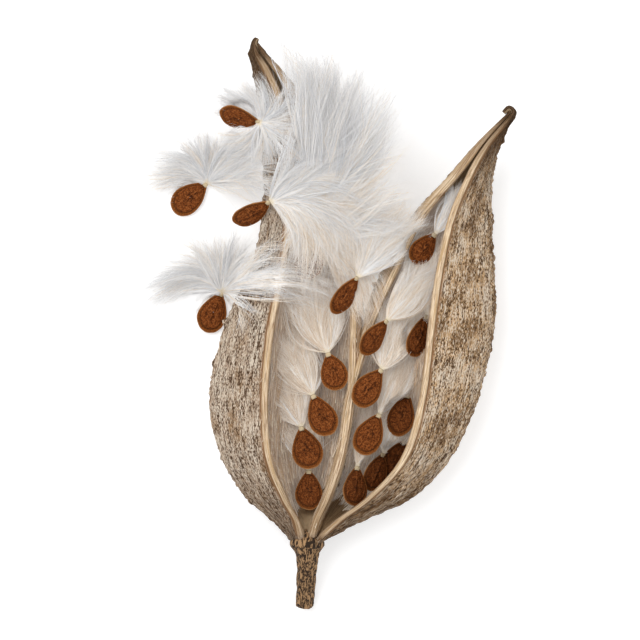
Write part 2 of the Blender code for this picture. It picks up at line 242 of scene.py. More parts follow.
class Sheet:
    """One material's node tree, with one method that makes every node in it."""

    def __init__(self, name: str, **constants: float | Colour) -> None:
        """Starts the material.

        Args:
            name: The material's name.
            constants: Values for the shader's own sockets, with underscores for spaces.
        """
        self.material = bpy.data.materials.new(name)
        self.material.use_nodes = True
        self.tree = self.material.node_tree
        self.shader = self.tree.nodes["Principled BSDF"]
        for key, value in constants.items():
            socket = self.shader.inputs[key.replace("_", " ")]
            socket.default_value = (*value, 1) if isinstance(value, tuple) else value

    def node(
        self, kind: str, settings: dict | None = None, inputs: dict | None = None
    ) -> bpy.types.Node:
        """Adds a node.

        Args:
            kind: The node's type.
            settings: Its own properties; a ramp's stops are (place, colour) pairs.
            inputs: Values or links, by the socket's name or number.

        Returns:
            The node.
        """
        made = self.tree.nodes.new(kind)
        for key, value in (settings or {}).items():
            if key == "stops":
                while len(made.color_ramp.elements) < len(value):
                    made.color_ramp.elements.new(0.5)
                for stop, (place, colour) in zip(made.color_ramp.elements, value):
                    stop.position = place
                    stop.color = (*colour, 1)
            else:
                setattr(made, key, value)
        for key, value in (inputs or {}).items():
            self.feed(made.inputs[key], value)
        return made

    def feed(self, socket: bpy.types.NodeSocket, value: object) -> None:
        """Links or sets one input.

        Args:
            socket: The input.
            value: A signal, a node's output, a number or a colour.
        """
        if isinstance(value, Signal):
            self.tree.links.new(value.socket, socket)
        elif isinstance(value, bpy.types.NodeSocket):
            self.tree.links.new(value, socket)
        elif isinstance(value, tuple) and len(socket.default_value) == 4:
            socket.default_value = (*value, 1)
        else:
            socket.default_value = value

    def attribute(self, name: str) -> Signal:
        """A number stored on the mesh, by its name."""
        read = self.node("ShaderNodeAttribute", {"attribute_name": name})
        return Signal(self, read.outputs["Fac"])

    def grain(self, scale: Point) -> bpy.types.NodeSocket:
        """Coordinates across and along the grain, as the mesh stores them.

        Args:
            scale: Cells per millimetre, across first.

        Returns:
            The coordinates.
        """
        read = self.node("ShaderNodeAttribute", {"attribute_name": "grain"})
        made = self.node(
            "ShaderNodeVectorMath", {"operation": "MULTIPLY"}, {0: read.outputs["Vector"], 1: scale}
        )
        return made.outputs[0]

    def noise(self, at: bpy.types.NodeSocket, detail: float = 3.0, rough: float = 0.55) -> Signal:
        """Noise with one cell per unit of its coordinates.

        Args:
            at: The coordinates.
            detail: How many finer layers it has.
            rough: How strong the finer layers are.

        Returns:
            The noise, which is 0.5 on average.
        """
        made = self.node(
            "ShaderNodeTexNoise", None,
            {"Vector": at, "Scale": 1.0, "Detail": detail, "Roughness": rough},
        )
        return Signal(self, made.outputs["Fac"])

    def mix(self, share: Signal, one: object, other: object) -> bpy.types.NodeSocket:
        """Mixes two colours.

        Args:
            share: 0 for the first and 1 for the second.
            one: The first colour, or an output that has it.
            other: The second.

        Returns:
            The mixed colour.
        """
        made = self.node("ShaderNodeMix", {"data_type": "RGBA"}, {"Factor": share})
        self.feed(made.inputs[6], one)
        self.feed(made.inputs[7], other)
        return made.outputs[2]

    def bump(self, height: Signal, distance: float) -> None:
        """Feeds the shader's normal from a height.

        Args:
            height: The height.
            distance: How many metres a height of 1 stands for.
        """
        made = self.node(
            "ShaderNodeBump", None, {"Height": height, "Distance": distance, "Strength": 1.0}
        )
        self.feed(self.shader.inputs["Normal"], made.outputs["Normal"])


# ---------------------------------------------------------------------------------------------
# Finishes


@dataclass(frozen=True)
class HuskFinish:
    """Dry, rough and speckled outside, pale fibrous rims and a beige lining, painted darker deep inside
    as shade.

    The colours are followed by the patterns, in cells per millimetre across and along the husk.
    """

    grey_tan: Colour = (0.500, 0.370, 0.265)
    warm_tan: Colour = (0.650, 0.415, 0.215)
    brown: Colour = (0.175, 0.092, 0.038)
    bleached: Colour = (0.800, 0.700, 0.570)
    groove: Colour = (0.064, 0.029, 0.011)
    cream: Colour = (0.880, 0.720, 0.520)
    straw: Colour = (0.460, 0.275, 0.115)
    rust: Colour = (0.270, 0.130, 0.052)
    lining: Colour = (0.560, 0.420, 0.270)
    # Painted shade: the colour the lining darkens to, deep in the hollow and near the throat.
    painted_shade_lining: Colour = (0.185, 0.092, 0.032)
    fine_cells: Point = (5.6, 1.7, 1)
    dash_cells: Point = (3.6, 0.30, 1)
    streak_cells: Point = (1.5, 0.10, 1)
    patch_cells: Point = (0.26, 0.11, 1)
    fibre_cells: Point = (5.0, 0.10, 1)
    roughness: float = 0.85
    relief: float = 0.0005

    def make(self) -> bpy.types.Material:
        """Builds the material.

        Returns:
            The material.
        """
        sheet = Sheet("dry_husk", Roughness=self.roughness, Specular_IOR_Level=0.25)
        rim, inside, edge = (sheet.attribute(name) for name in ("rim", "inside", "edge"))
        warmth, hollow, tip = (sheet.attribute(name) for name in ("warmth", "hollow", "tip"))
        fine = sheet.noise(sheet.grain(self.fine_cells), 2, 0.6)
        dashes = sheet.noise(sheet.grain(self.dash_cells), 3, 0.65)
        streaks = sheet.noise(sheet.grain(self.streak_cells), 3, 0.6)
        patches = sheet.noise(sheet.grain(self.patch_cells), 3, 0.6)
        fibres = sheet.noise(sheet.grain(self.fibre_cells), 3, 0.6)
        tan = (warmth + (patches - 0.5) * 2.0).over(0.1, 0.9)
        colour = sheet.mix(tan, self.grey_tan, self.warm_tan)
        brown = (patches + warmth * 0.10 + (dashes - 0.5) * 0.5).over(0.54, 0.70)
        colour = sheet.mix(brown * (0.45 + warmth * 0.4) + tip, colour, self.brown)
        pale = (fine * 0.50 + dashes * 0.50 - (patches - 0.5) * 0.20).over(0.50, 0.58)
        colour = sheet.mix(pale * (1 - tip * 0.9) * 0.80, colour, self.bleached)
        dark = fine * 0.44 + dashes * 0.42 + streaks * 0.14 + sheet.attribute("relief") * 0.05
        colour = sheet.mix(dark.over(0.515, 0.445) * 0.96, colour, self.groove)
        lining = sheet.mix(fibres.over(0.35, 0.65) * 0.6, self.lining, self.straw)
        # Painted shade: the "hollow" number darkens the lining along its fibres, low in the hollow and
        # near the throat.
        lining = sheet.mix(hollow * fibres.over(0.66, 0.40) * 0.95, lining, self.painted_shade_lining)
        band = sheet.mix(fibres.over(0.44, 0.58) * 0.8, self.cream, self.straw)
        line = edge.over(0.30, 0.04) * (0.4 + dashes)
        threads = (fibres * 0.85 + dashes * 0.15).over(0.47, 0.42)
        band = sheet.mix(line + threads * 0.8 + edge.over(0.80, 0.98) * 0.4, band, self.rust)
        band = sheet.mix(dashes.over(0.42, 0.34) * 0.5 + tip * 0.6, band, self.brown)
        colour = sheet.mix(inside, colour, lining)
        sheet.feed(sheet.shader.inputs["Base Color"], sheet.mix(rim, colour, band))
        height = (dashes * 0.8 + fine * 0.6) * (1 - inside) * (1 - rim) + fibres * 0.6
        sheet.bump(height, self.relief)
        return sheet.material


@dataclass(frozen=True)
class StalkFinish:
    """Brown bark with pale and dark flecks along it, and a paler cut end."""

    bark: Colour = (0.110, 0.054, 0.022)
    pale: Colour = (0.360, 0.215, 0.105)
    dark: Colour = (0.026, 0.014, 0.007)
    pith: Colour = (0.50, 0.40, 0.27)
    relief: float = 0.0004

    def make(self) -> bpy.types.Material:
        """Builds the material.

        Returns:
            The material.
        """
        sheet = Sheet("stalk_bark", Roughness=0.85, Specular_IOR_Level=0.25)
        streaks = sheet.noise(sheet.grain((2.2, 0.45, 1)), 3, 0.6)
        fleck = sheet.noise(sheet.grain((5.2, 2.0, 1)), 2, 0.6)
        colour = sheet.mix(streaks.over(0.47, 0.60), self.bark, self.pale)
        dark = (fleck * 0.5 + streaks * 0.5).over(0.53, 0.48)
        colour = sheet.mix(dark, colour, self.dark)
        colour = sheet.mix(fleck.over(0.54, 0.62) * 0.8, colour, self.pale)
        cut = sheet.mix(fleck, self.pith, self.bark)
        colour = sheet.mix(sheet.attribute("cut"), colour, cut)
        sheet.feed(sheet.shader.inputs["Base Color"], colour)
        sheet.bump(streaks + fleck * 0.5, self.relief)
        return sheet.material


@dataclass(frozen=True)
class SeedFinish:
    """Reddish brown, lighter on the thin margin and dark and mottled in the middle."""

    body: Colour = (0.200, 0.050, 0.009)
    dark: Colour = (0.026, 0.008, 0.003)
    mottle: Colour = (0.300, 0.095, 0.025)
    margin: Colour = (0.225, 0.066, 0.012)
    edge: Colour = (0.420, 0.200, 0.075)
    neck: Colour = (0.620, 0.500, 0.320)
    relief: float = 0.0003

    def make(self) -> bpy.types.Material:
        """Builds the material.

        Returns:
            The material.
        """
        sheet = Sheet("seed_coat", Roughness=0.7, Specular_IOR_Level=0.06)
        wing, neck, tone, reach = (
            sheet.attribute(name) for name in ("wing", "neck", "tone", "reach")
        )
        mottle = sheet.noise(sheet.grain((2.6, 1.5, 1.8)), 4, 0.7)
        grains = sheet.noise(sheet.grain((5.6, 4.0, 4.0)), 2, 0.6)
        colour = sheet.mix(mottle.over(0.46, 0.62), self.body, self.mottle)
        colour = sheet.mix(mottle.over(0.49, 0.40) * (0.80 - reach * 0.4), colour, self.dark)
        colour = sheet.mix((wing + (grains - 0.5) * 0.8).over(0.30, 0.75), colour, self.margin)
        colour = sheet.mix(grains.over(0.56, 0.66) * 0.6, colour, self.mottle)
        middle = reach.over(0.55, 0.05) * mottle.over(0.62, 0.36)
        colour = sheet.mix(middle * 0.6, colour, self.dark)
        groove = reach.over(0.74, 0.79) * reach.over(0.88, 0.83)
        colour = sheet.mix(groove * (mottle * 1.1), colour, self.dark)
        colour = sheet.mix(grains.over(0.49, 0.40) * 0.85, colour, self.dark)
        # Painted shade: a seed lying in the rims' shadow is darkened by its stored shade.
        colour = sheet.mix(tone, colour, self.dark)
        colour = sheet.mix(reach.over(0.94, 0.985) * (0.3 + grains), colour, self.edge)
        sheet.feed(sheet.shader.inputs["Base Color"], sheet.mix(neck, colour, self.neck))
        sheet.bump(mottle * 0.6 + grains * 0.6, self.relief)
        return sheet.material


@dataclass(frozen=True)
class SilkFinish:
    """Fine hairs, from cool grey, a painted shade, through white to beige, with a cream root and a
    faint painted glow.
    """

    # Painted shade: grey stands for hairs in shadow; the other colours are the silk's own.
    grey: Colour = (0.60, 0.61, 0.635)
    white: Colour = (0.92, 0.91, 0.90)
    cream: Colour = (0.84, 0.72, 0.58)
    packed: Colour = (0.43, 0.245, 0.095)
    root: Colour = (0.80, 0.70, 0.52)

    def make(self) -> bpy.types.Material:
        """Builds the material.

        Returns:
            The material.
        """
        # The faint emission is painted light: a glow that stands for light scattered through the hairs.
        sheet = Sheet(
            "silk_hairs", Roughness=0.4, Specular_IOR_Level=0.5,
            Emission_Color=(1.0, 0.97, 0.94), Emission_Strength=0.08,
        )
        along, tone = sheet.attribute("along"), sheet.attribute("tone")
        # The grey stop is painted shade; white, cream and beige are the silk's own colours.
        stops = [(0.0, self.grey), (0.3, self.white), (0.55, self.cream), (1.0, self.packed)]
        ramp = sheet.node("ShaderNodeValToRGB", {"stops": stops}, {"Fac": tone})
        colour = sheet.mix(along.over(0.12, 0.0), ramp.outputs["Color"], self.root)
        sheet.feed(sheet.shader.inputs["Base Color"], colour)
        return sheet.material


class Slot(Enum):
    """The four material slots."""

    HUSK = "husk"
    STALK = "stalk"
    SEED = "seed"
    SILK = "silk"


# ---------------------------------------------------------------------------------------------
# Meshes


@dataclass
class Skin:
    """A grid of points, in metres, whose last column meets its first.

    It becomes a mesh with numbers stored on its points.
    """

    points: np.ndarray
    numbers: dict[str, np.ndarray] = field(default_factory=dict)

    def normals(self) -> np.ndarray:
        """The grid's normals, from its neighbours along and across."""
        across = np.roll(self.points, -1, 1) - np.roll(self.points, 1, 1)
        return unit(np.cross(across, np.gradient(self.points, axis=0)))

    def flat(self, tile: int, tiles: int) -> np.ndarray:
        """A flat map of the grid.

        Args:
            tile: Which of the upright strips of the map it fills.
            tiles: How many strips there are.

        Returns:
            The place of each face's four corners on the map.
        """
        rows, columns = self.points.shape[0], self.points.shape[1] + 1
        place_on = np.stack(np.meshgrid(
            (tile + 0.01 + 0.98 * np.arange(columns) / (columns - 1)) / tiles,
            0.005 + 0.99 * np.arange(rows) / (rows - 1),
        ), -1)
        a, b = place_on[:-1, :-1], place_on[:-1, 1:]
        c, d = place_on[1:, 1:], place_on[1:, :-1]
        return np.stack([a, b, c, d], 2).reshape(-1, 4, 2)

    def faces(self) -> np.ndarray:
        """The corners of each face, four to a row."""
        rows, columns = self.points.shape[:2]
        numbers = np.arange(rows * columns).reshape(rows, columns)
        numbers = np.hstack([numbers, numbers[:, :1]])
        a, b = numbers[:-1, :-1], numbers[:-1, 1:]
        c, d = numbers[1:, 1:], numbers[1:, :-1]
        return np.stack([a, b, c, d], -1).reshape(-1, 4)


def mesh_from(
    name: str, points: np.ndarray, faces: np.ndarray, numbers: dict, flat: np.ndarray
) -> bpy.types.Mesh:
    """A smooth mesh from arrays.

    Args:
        name: The mesh's name.
        points: One point to a row, in metres.
        faces: Four corners to a row.
        numbers: A number or a vector for each point, by name.
        flat: The place of each face's corners on the piece's flat map.

    Returns:
        The mesh.
    """
    mesh = bpy.data.meshes.new(name)
    mesh.vertices.add(len(points))
    mesh.vertices.foreach_set("co", points.astype(np.float32).ravel())
    mesh.loops.add(faces.size)
    mesh.loops.foreach_set("vertex_index", faces.astype(np.int32).ravel())
    mesh.polygons.add(len(faces))
    mesh.polygons.foreach_set("loop_start", np.arange(0, faces.size, 4, dtype=np.int32))
    for key, values in numbers.items():
        kind, slot = ("FLOAT_VECTOR", "vector") if values.ndim == 2 else ("FLOAT", "value")
        stored = mesh.attributes.new(key, kind, "POINT")
        stored.data.foreach_set(slot, values.astype(np.float32).ravel())
    chart = mesh.uv_layers.new(name="OFBake")
    chart.uv.foreach_set("vector", flat.astype(np.float32).ravel())
    mesh.update(calc_edges=True)
    mesh.validate()
    mesh.shade_smooth()
    return mesh


def joined(name: str, skins: list[Skin]) -> bpy.types.Mesh:
    """One mesh from a few grids.

    Args:
        name: The mesh's name.
        skins: The grids, which store the same numbers.

    Returns:
        The mesh.
    """
    points = [skin.points.reshape(-1, 3) for skin in skins]
    starts = np.cumsum([0] + [len(p) for p in points])
    numbers = {}
    for key in skins[0].numbers:
        stored = np.concatenate([s.numbers[key].reshape(len(p), -1) for s, p in zip(skins, points)])
        numbers[key] = stored[:, 0] if stored.shape[1] == 1 else stored
    faces = np.vstack([skin.faces() + start for skin, start in zip(skins, starts)])
    flat = np.vstack([skin.flat(i, len(skins)) for i, skin in enumerate(skins)])
    return mesh_from(name, np.vstack(points), faces, numbers, flat)


def place(
    name: str, mesh: bpy.types.Mesh, finish: bpy.types.Material, slot: Slot, node: str | None
) -> None:
    """Puts a piece in the scene.

    Args:
        name: The piece's name.
        mesh: Its mesh, in the row frame.
        finish: Its material.
        slot: The slot of that material; not used.
        node: The CAD node it stands for, if there is one.
    """
    mesh.materials.append(finish)
    piece = bpy.data.objects.new(name, mesh)
    bpy.context.scene.collection.objects.link(piece)
    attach(piece, "root")
    if node:
        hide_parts(node)
    log.info("%s: %d faces", name, len(mesh.polygons))


# ---------------------------------------------------------------------------------------------
# Husk


@dataclass(frozen=True)
class Station:
    """One cross-section of a lobe, square to Y.

    outer and inner are its widest points, near and far the middles of its two rims, rim_z and far_z
    their heights, and belly_z its lowest point.
    """

    y: float
    outer: float
    near: float
    far: float
    inner: float
    rim_z: float
    far_z: float
    belly_z: float


@dataclass(frozen=True)
class Bead:
    """A point on a round, tapering shape, with its radius."""

    x: float
    y: float
    z: float
    radius: float


@dataclass(frozen=True)
class Relief:
    """How high each kind of unevenness of the husk stands, in millimetres."""

    wave: float = 0.30
    rib: float = 0.42
    wart: float = 0.45
    nub: float = 1.6
    string: float = 0.09
    fibre: float = 0.10
    rim_wave: float = 0.12


@dataclass
class Lobe:
    """One boat-shaped half of the husk, with its beak. Lengths are millimetres.

    side is 1 where the near rim is right of the far rim, and -1 where it is left of it. hollow is
    where along Y the inside starts and ends, and opens and closes say over what lengths. rim_skirt
    and ridge_skirt are how far the rims' pale band reaches down the outside. cone holds the size and
    the drop of each ring that rounds off the end at the throat.
    """

    stations: list[Station]
    beak: list[Bead]
    hollow: tuple[float, float]
    side: int
    warmth: float
    wall: float = 1.2
    wall_share: float = 0.38
    rim_half: float = 0.7
    rim_rise: float = 0.75
    lip_drop: float = 0.35
    narrowest: float = 0.12
    opens: tuple[float, float] = (-1.0, 5.0)
    closes: tuple[float, float] = (-8.0, 3.0)
    equator: float = 0.5
    lip_angle: float = math.radians(65)
    steps: int = 34
    rim_steps: int = 9
    lengthwise: int = 30
    rim_skirt: float = 0.55
    ridge_skirt: float = 5.0
    base_shade: float = 0.15
    cone: tuple[tuple[float, float], ...] = ((0.02, 1.0), (0.4, 0.95), (0.7, 0.75), (0.88, 0.45))
    relief: Relief = Relief()

    def quarters(self, rows: np.ndarray, angles: int) -> np.ndarray:
        """A wall from its near rim round the outer side and the belly to the far rim.

        Args:
            rows: One station's numbers to a row.
            angles: How many steps each quarter has.

        Returns:
            For each row, the wall's points as (x, z).
        """
        y, outer, near, far, inner, rim_z, far_z, belly = (rows[:, i, None] for i in range(8))
        share = np.linspace(0, 1, angles + 1)[None]
        bottom = (outer + inner) / 2
        lip = self.lip_angle

        def lips(
            side_x: np.ndarray, rim_x: np.ndarray, top: np.ndarray, part: np.ndarray
        ) -> tuple[np.ndarray, np.ndarray]:
            """The x and z between the widest line, at part 0, and a rim, at part 1."""
            widest = belly + self.equator * (top - belly)
            inwards = (1 - np.cos(lip * part)) / (1 - math.cos(lip))
            x = side_x + (rim_x - side_x) * inwards
            return x, widest + (top - widest) * np.sin(lip * part) / math.sin(lip)

        def bellies(
            side_x: np.ndarray, top: np.ndarray, part: np.ndarray
        ) -> tuple[np.ndarray, np.ndarray]:
            """The x and z between a widest line, at part 0, and the bottom, at part 1."""
            widest = belly + self.equator * (top - belly)
            x = bottom + (side_x - bottom) * np.cos(math.pi / 2 * part)
            return x, widest - (widest - belly) * np.sin(math.pi / 2 * part)

        parts = [
            lips(outer, near, rim_z, 1 - share),
            bellies(outer, rim_z, share[:, 1:]),
            bellies(inner, far_z, 1 - share[:, 1:]),
            lips(inner, far, far_z, share[:, 1:]),
        ]
        x = np.hstack([part[0] for part in parts])
        z = np.hstack([part[1] for part in parts])
        return np.stack([x, z], -1)

    def rings(self) -> tuple[np.ndarray, np.ndarray, np.ndarray]:
        """Closed cross-sections of the shell, outside then inside.

        Returns:
            The rings as (x, y, z) in millimetres. Then, for each column, where it lies: 0 to 1 over
            the outside, 1 to 2 over the far rim, 2 to 3 over the inside and 3 to 4 over the near
            rim. Then the distance of each point from the nearest rim.
        """
        rows = smooth_rows(self.stations, self.lengthwise)
        side = self.side
        outer = rows.copy()
        outer[:, 2] += side * self.rim_half
        outer[:, 3] -= side * self.rim_half
        outside = self.quarters(outer, self.steps)
        start, end = self.hollow
        depth = smoothstep(start + self.opens[0], start + self.opens[1], rows[:, 0])
        depth *= 1 - smoothstep(end + self.closes[0], end + self.closes[1], rows[:, 0])
        width = np.abs(rows[:, 1] - rows[:, 4])
        inset = np.minimum(self.wall, self.wall_share * width)
        gap = np.abs(rows[:, 2] - rows[:, 3]) - 2 * self.rim_half
        slit = np.clip(gap / 2, self.narrowest, None) - gap / 2
        inner = rows.copy()
        inner[:, 1] -= side * inset
        inner[:, 4] += side * inset
        inner[:, 2] -= side * (self.rim_half - slit)
        inner[:, 3] += side * (self.rim_half - slit)
        inner[:, 5] -= self.lip_drop
        inner[:, 6] -= self.lip_drop
        inner[:, 7] = np.maximum(inner[:, 7], 0) + self.wall
        inner[:, 7] += (rows[:, 5] - 2.0 - inner[:, 7]) * (1 - depth)
        middle = (rows[:, 2] + rows[:, 3]) / 2
        for column in (1, 4):
            inner[:, column] = middle + (inner[:, column] - middle) * (0.12 + 0.88 * depth)
        inside = self.quarters(inner, self.steps // 2)[:, ::-1]

        def rim(one: np.ndarray, other: np.ndarray) -> np.ndarray:
            """A rounded edge between two points of each ring."""
            turn = np.linspace(0, math.pi, self.rim_steps + 2)[None, 1:-1, None]
            centre, half = (one + other)[:, None] / 2, (one - other)[:, None] / 2
            up = np.zeros_like(half)
            up[..., 1] = np.linalg.norm(half, axis=-1) * self.rim_rise
            return centre + half * np.cos(turn) + up * np.sin(turn)

        far = rim(outside[:, -1], inside[:, 0])
        near = rim(inside[:, -1], outside[:, 0])
        ring = np.concatenate([outside, far, inside, near], 1)
        where = np.concatenate([
            np.linspace(0, 1, outside.shape[1]),
            np.linspace(1, 2, far.shape[1] + 2)[1:-1],
            np.linspace(2, 3, inside.shape[1]),
            np.linspace(3, 4, near.shape[1] + 2)[1:-1],
        ])
        away = [np.zeros(part.shape[:2]) for part in (outside, far, inside, near)]
        for gap, wall in ((away[0], outside), (away[2], inside)):
            step = np.linalg.norm(np.diff(wall, axis=1), axis=-1)
            run = np.concatenate([np.zeros((len(wall), 1)), np.cumsum(step, axis=1)], 1)
            gap[:] = np.minimum(run, run[:, -1:] - run)
        y = np.broadcast_to(rows[:, None, :1], (*ring.shape[:2], 1))
        return np.concatenate([ring[..., :1], y, ring[..., 1:]], -1), where, np.concatenate(away, 1)

    def tip(self, last: np.ndarray) -> np.ndarray:
        """Rings along the beak, from the last cross-section to its point.

        Args:
            last: The last cross-section of the shell.

        Returns:
            The rings, in millimetres.
        """
        beads = smooth_rows(self.beak, 10)
        centre = last.mean(0)
        around = last - centre
        size = np.linalg.norm(around[:, [0, 2]], axis=1).mean()
        round_ring = circles(beads[:, :3], np.arctan2(around[:, 2], around[:, 0]))
        share = smoothstep(0, 0.6, np.linspace(0, 1, len(beads)))[:, None, None]
        shaped = (around / size)[None] * (1 - share) + round_ring * share
        rings = beads[:, None, :3] + shaped * beads[:, None, 3:]
        return np.concatenate([rings, rings[-1:].mean(1, keepdims=True).repeat(len(last), 1)], 0)

    def skin(self, corner: np.ndarray) -> Skin:
        """The lobe's displaced surface.

        Args:
            corner: The throat in the row frame, in metres.

        Returns:
            The grid, with the numbers that the husk's finish reads.
        """
        rings, where, away = self.rings()
        tip = self.tip(rings[-1])
        middle = rings[:1].mean(1, keepdims=True)
        tail = [middle + (rings[:1] - middle) * size - [0, drop, 0] for size, drop in self.cone]
        rings = np.concatenate([*tail, rings, tip], 0)
        ends = [np.full((len(end), away.shape[1]), 9.0) for end in (tail, tip)]
        away = np.concatenate([ends[0], away, ends[1]], 0)
        columns = np.broadcast_to(where, rings.shape[:2])
        step = np.linalg.norm(rings - np.roll(rings, 1, 1), axis=-1)
        across = np.broadcast_to(np.cumsum(step[len(step) // 3]), rings.shape[:2])
        grain = np.stack([across, rings[..., 1], np.full_like(across, 3.0 * self.side)], -1)
        outside = columns <= 1
        inside = (columns >= 2) & (columns <= 3)
        skirt = np.where(columns > 0.5, self.ridge_skirt, self.rim_skirt)
        on_rim = np.where(outside, 1 - smoothstep(0.15 * skirt, skirt, away), 0.0)
        on_rim = np.where(inside, 1 - smoothstep(0.1, 0.5, away), on_rim)
        on_rim = np.where((columns > 1) & (columns < 2) | (columns > 3), 1.0, on_rim)
        on_rim[-len(tip):] = 0.0
        on_rim = on_rim * smoothstep(-1.0, 0.9, rings[..., 1])
        edge = np.where(outside, np.where(columns > 0.5, 0.35, 0.0), np.where(inside, 1.0, 0.5))
        edge = np.where((columns > 1) & (columns < 2), columns - 1, edge)
        edge = np.where(columns > 3, 4 - columns, edge)
        skin = Skin(rings * MM)
        normals = skin.normals() * self.side
        noise, high = Noise(11 + self.side), self.relief
        wave = noise.layers(grain * [0.10, 0.07, 1], 2)
        ribs = noise.layers(grain * [0.80, 0.11, 1], 3)
        warts = noise.layers(grain * [1.6, 0.85, 1], 2)
        nubs = np.clip(noise(grain * [0.9, 0.55, 1] + 40) - 0.42, 0, 1)
        rough = outside * (1 - on_rim)
        lift = high.wave * wave - high.rib * np.abs(ribs)
        lift = rough * (lift + high.wart * np.clip(warts, -0.15, 1) + high.nub * nubs)
        fibres = high.fibre * noise.layers(grain * [2.6, 0.10, 1], 2)
        strings = np.cos(edge * 6 * math.pi) * high.string
        lift = lift + on_rim * (strings + fibres + high.rim_wave * wave) + inside * fibres
        taper = np.clip(np.linalg.norm(rings - rings.mean(1, keepdims=True), axis=-1) / 4, 0.1, 1)
        moved = skin.points + normals * (lift * taper)[..., None] * MM
        moved[..., 2] = np.maximum(moved[..., 2], 0.0)
        skin.points = moved + corner
        to_tip = rings[-1, 0, 1] - rings[..., 1]
        # Painted shade for the lining: "hollow" grows where the inside lies low and, through
        # base_shade, near the throat.
        shade = self.base_shade * smoothstep(11, 3, rings[..., 1])
        skin.numbers = {
            "rim": on_rim,
            "edge": edge,
            "inside": inside.astype(float),
            "warmth": np.full(rings.shape[:2], self.warmth),
            "hollow": np.maximum(smoothstep(9.0, 2.5, rings[..., 2]), shade) * inside,
            "tip": np.maximum(smoothstep(16, 3, to_tip), 0.7 * smoothstep(19, 0, rings[..., 1])),
            "relief": np.clip(1.2 * (np.abs(ribs) - 0.22) + 0.8 * warts, -1, 1) * rough,
            "grain": grain,
        }
        if self.side < 0:
            skin.points = skin.points[:, ::-1]
            skin.numbers = {key: stored[:, ::-1] for key, stored in skin.numbers.items()}
        return skin


@dataclass
class Husk:
    """Both lobes, grown together along the ridge between them."""

    left: Lobe = field(default_factory=lambda: Lobe(
        stations=[
            Station(-1.2, -3.9, -1.8, 0.0, 1.2, 9.6, 9.4, 4.4),
            Station(3.0, -7.9, -2.9, 1.2, 2.6, 11.2, 10.0, 2.8),
            Station(8.0, -13.5, -5.5, 3.4, 4.7, 13.2, 11.0, 1.0),
            Station(16.0, -18.1, -8.5, 6.0, 7.2, 15.2, 12.0, -0.5),
            Station(28.0, -20.3, -9.2, 8.0, 9.2, 16.0, 12.8, -0.5),
            Station(42.0, -17.4, -7.9, 8.6, 10.6, 15.8, 13.2, -0.5),
            Station(54.0, -12.1, -5.5, 7.6, 9.8, 15.4, 13.4, -0.5),
            Station(66.0, -9.6, -4.2, 3.8, 6.0, 14.6, 13.2, 1.0),
            Station(78.0, -9.6, -3.9, -0.5, 1.4, 13.4, 12.6, 3.4),
            Station(88.0, -10.7, -6.5, -3.6, -2.2, 12.2, 12.0, 6.2),
            Station(94.0, -11.9, -9.2, -7.4, -6.4, 11.5, 11.4, 7.9),
        ],
        beak=[
            Bead(-10.4, 96.4, 10.0, 1.35),
            Bead(-11.2, 98.4, 10.4, 0.8),
            Bead(-10.8, 99.5, 10.8, 0.45),
        ],
        hollow=(1.6, 92.0),
        side=-1,
        warmth=0.15,
    ))
    right: Lobe = field(default_factory=lambda: Lobe(
        stations=[
            Station(-1.2, 2.7, 1.2, 0.0, -1.2, 9.6, 9.4, 4.4),
            Station(3.0, 10.9, 5.7, 1.2, 0.0, 11.2, 10.0, 2.6),
            Station(8.0, 21.2, 12.2, 3.4, 2.2, 13.2, 11.0, 1.0),
            Station(16.0, 28.6, 18.9, 6.0, 4.8, 15.2, 12.0, -0.5),
            Station(28.0, 33.9, 22.4, 8.0, 6.8, 16.0, 12.8, -0.5),
            Station(42.0, 37.0, 24.1, 12.0, 10.0, 16.0, 13.2, -0.5),
            Station(54.0, 36.6, 25.9, 17.2, 15.0, 15.6, 13.4, -0.5),
            Station(64.0, 36.3, 28.3, 22.3, 20.2, 14.8, 13.4, 1.6),
            Station(72.0, 36.5, 31.7, 29.2, 27.6, 13.8, 13.0, 4.4),
            Station(78.0, 38.0, 35.0, 33.9, 32.8, 12.8, 12.6, 7.2),
            Station(81.5, 39.5, 37.6, 37.1, 36.2, 12.0, 12.0, 8.8),
        ],
        beak=[
            Bead(39.5, 83.6, 10.8, 1.0),
            Bead(40.3, 84.8, 11.2, 0.75),
            Bead(39.6, 85.5, 11.4, 0.55),
            Bead(38.6, 84.6, 11.3, 0.45),
        ],
        hollow=(1.6, 74.0),
        side=1,
        warmth=0.75,
        base_shade=1.0,
    ))

    def throat(self) -> np.ndarray:
        """The throat in the row frame, found from where the CAD husk starts, in metres."""
        low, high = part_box("husk")
        rows = smooth_rows(self.left.stations, self.left.lengthwise)
        return np.array([low[0] - rows[:, 1].min() * MM, low[1] - rows[0, 0] * MM, 0.0])

    def build(self, finish: bpy.types.Material) -> None:
        """Makes the husk's one piece from its two lobes.

        Args:
            finish: The husk's material.
        """
        skins = [lobe.skin(self.throat()) for lobe in (self.left, self.right)]
        place("husk_shell", joined("husk_shell", skins), finish, Slot.HUSK, "husk")


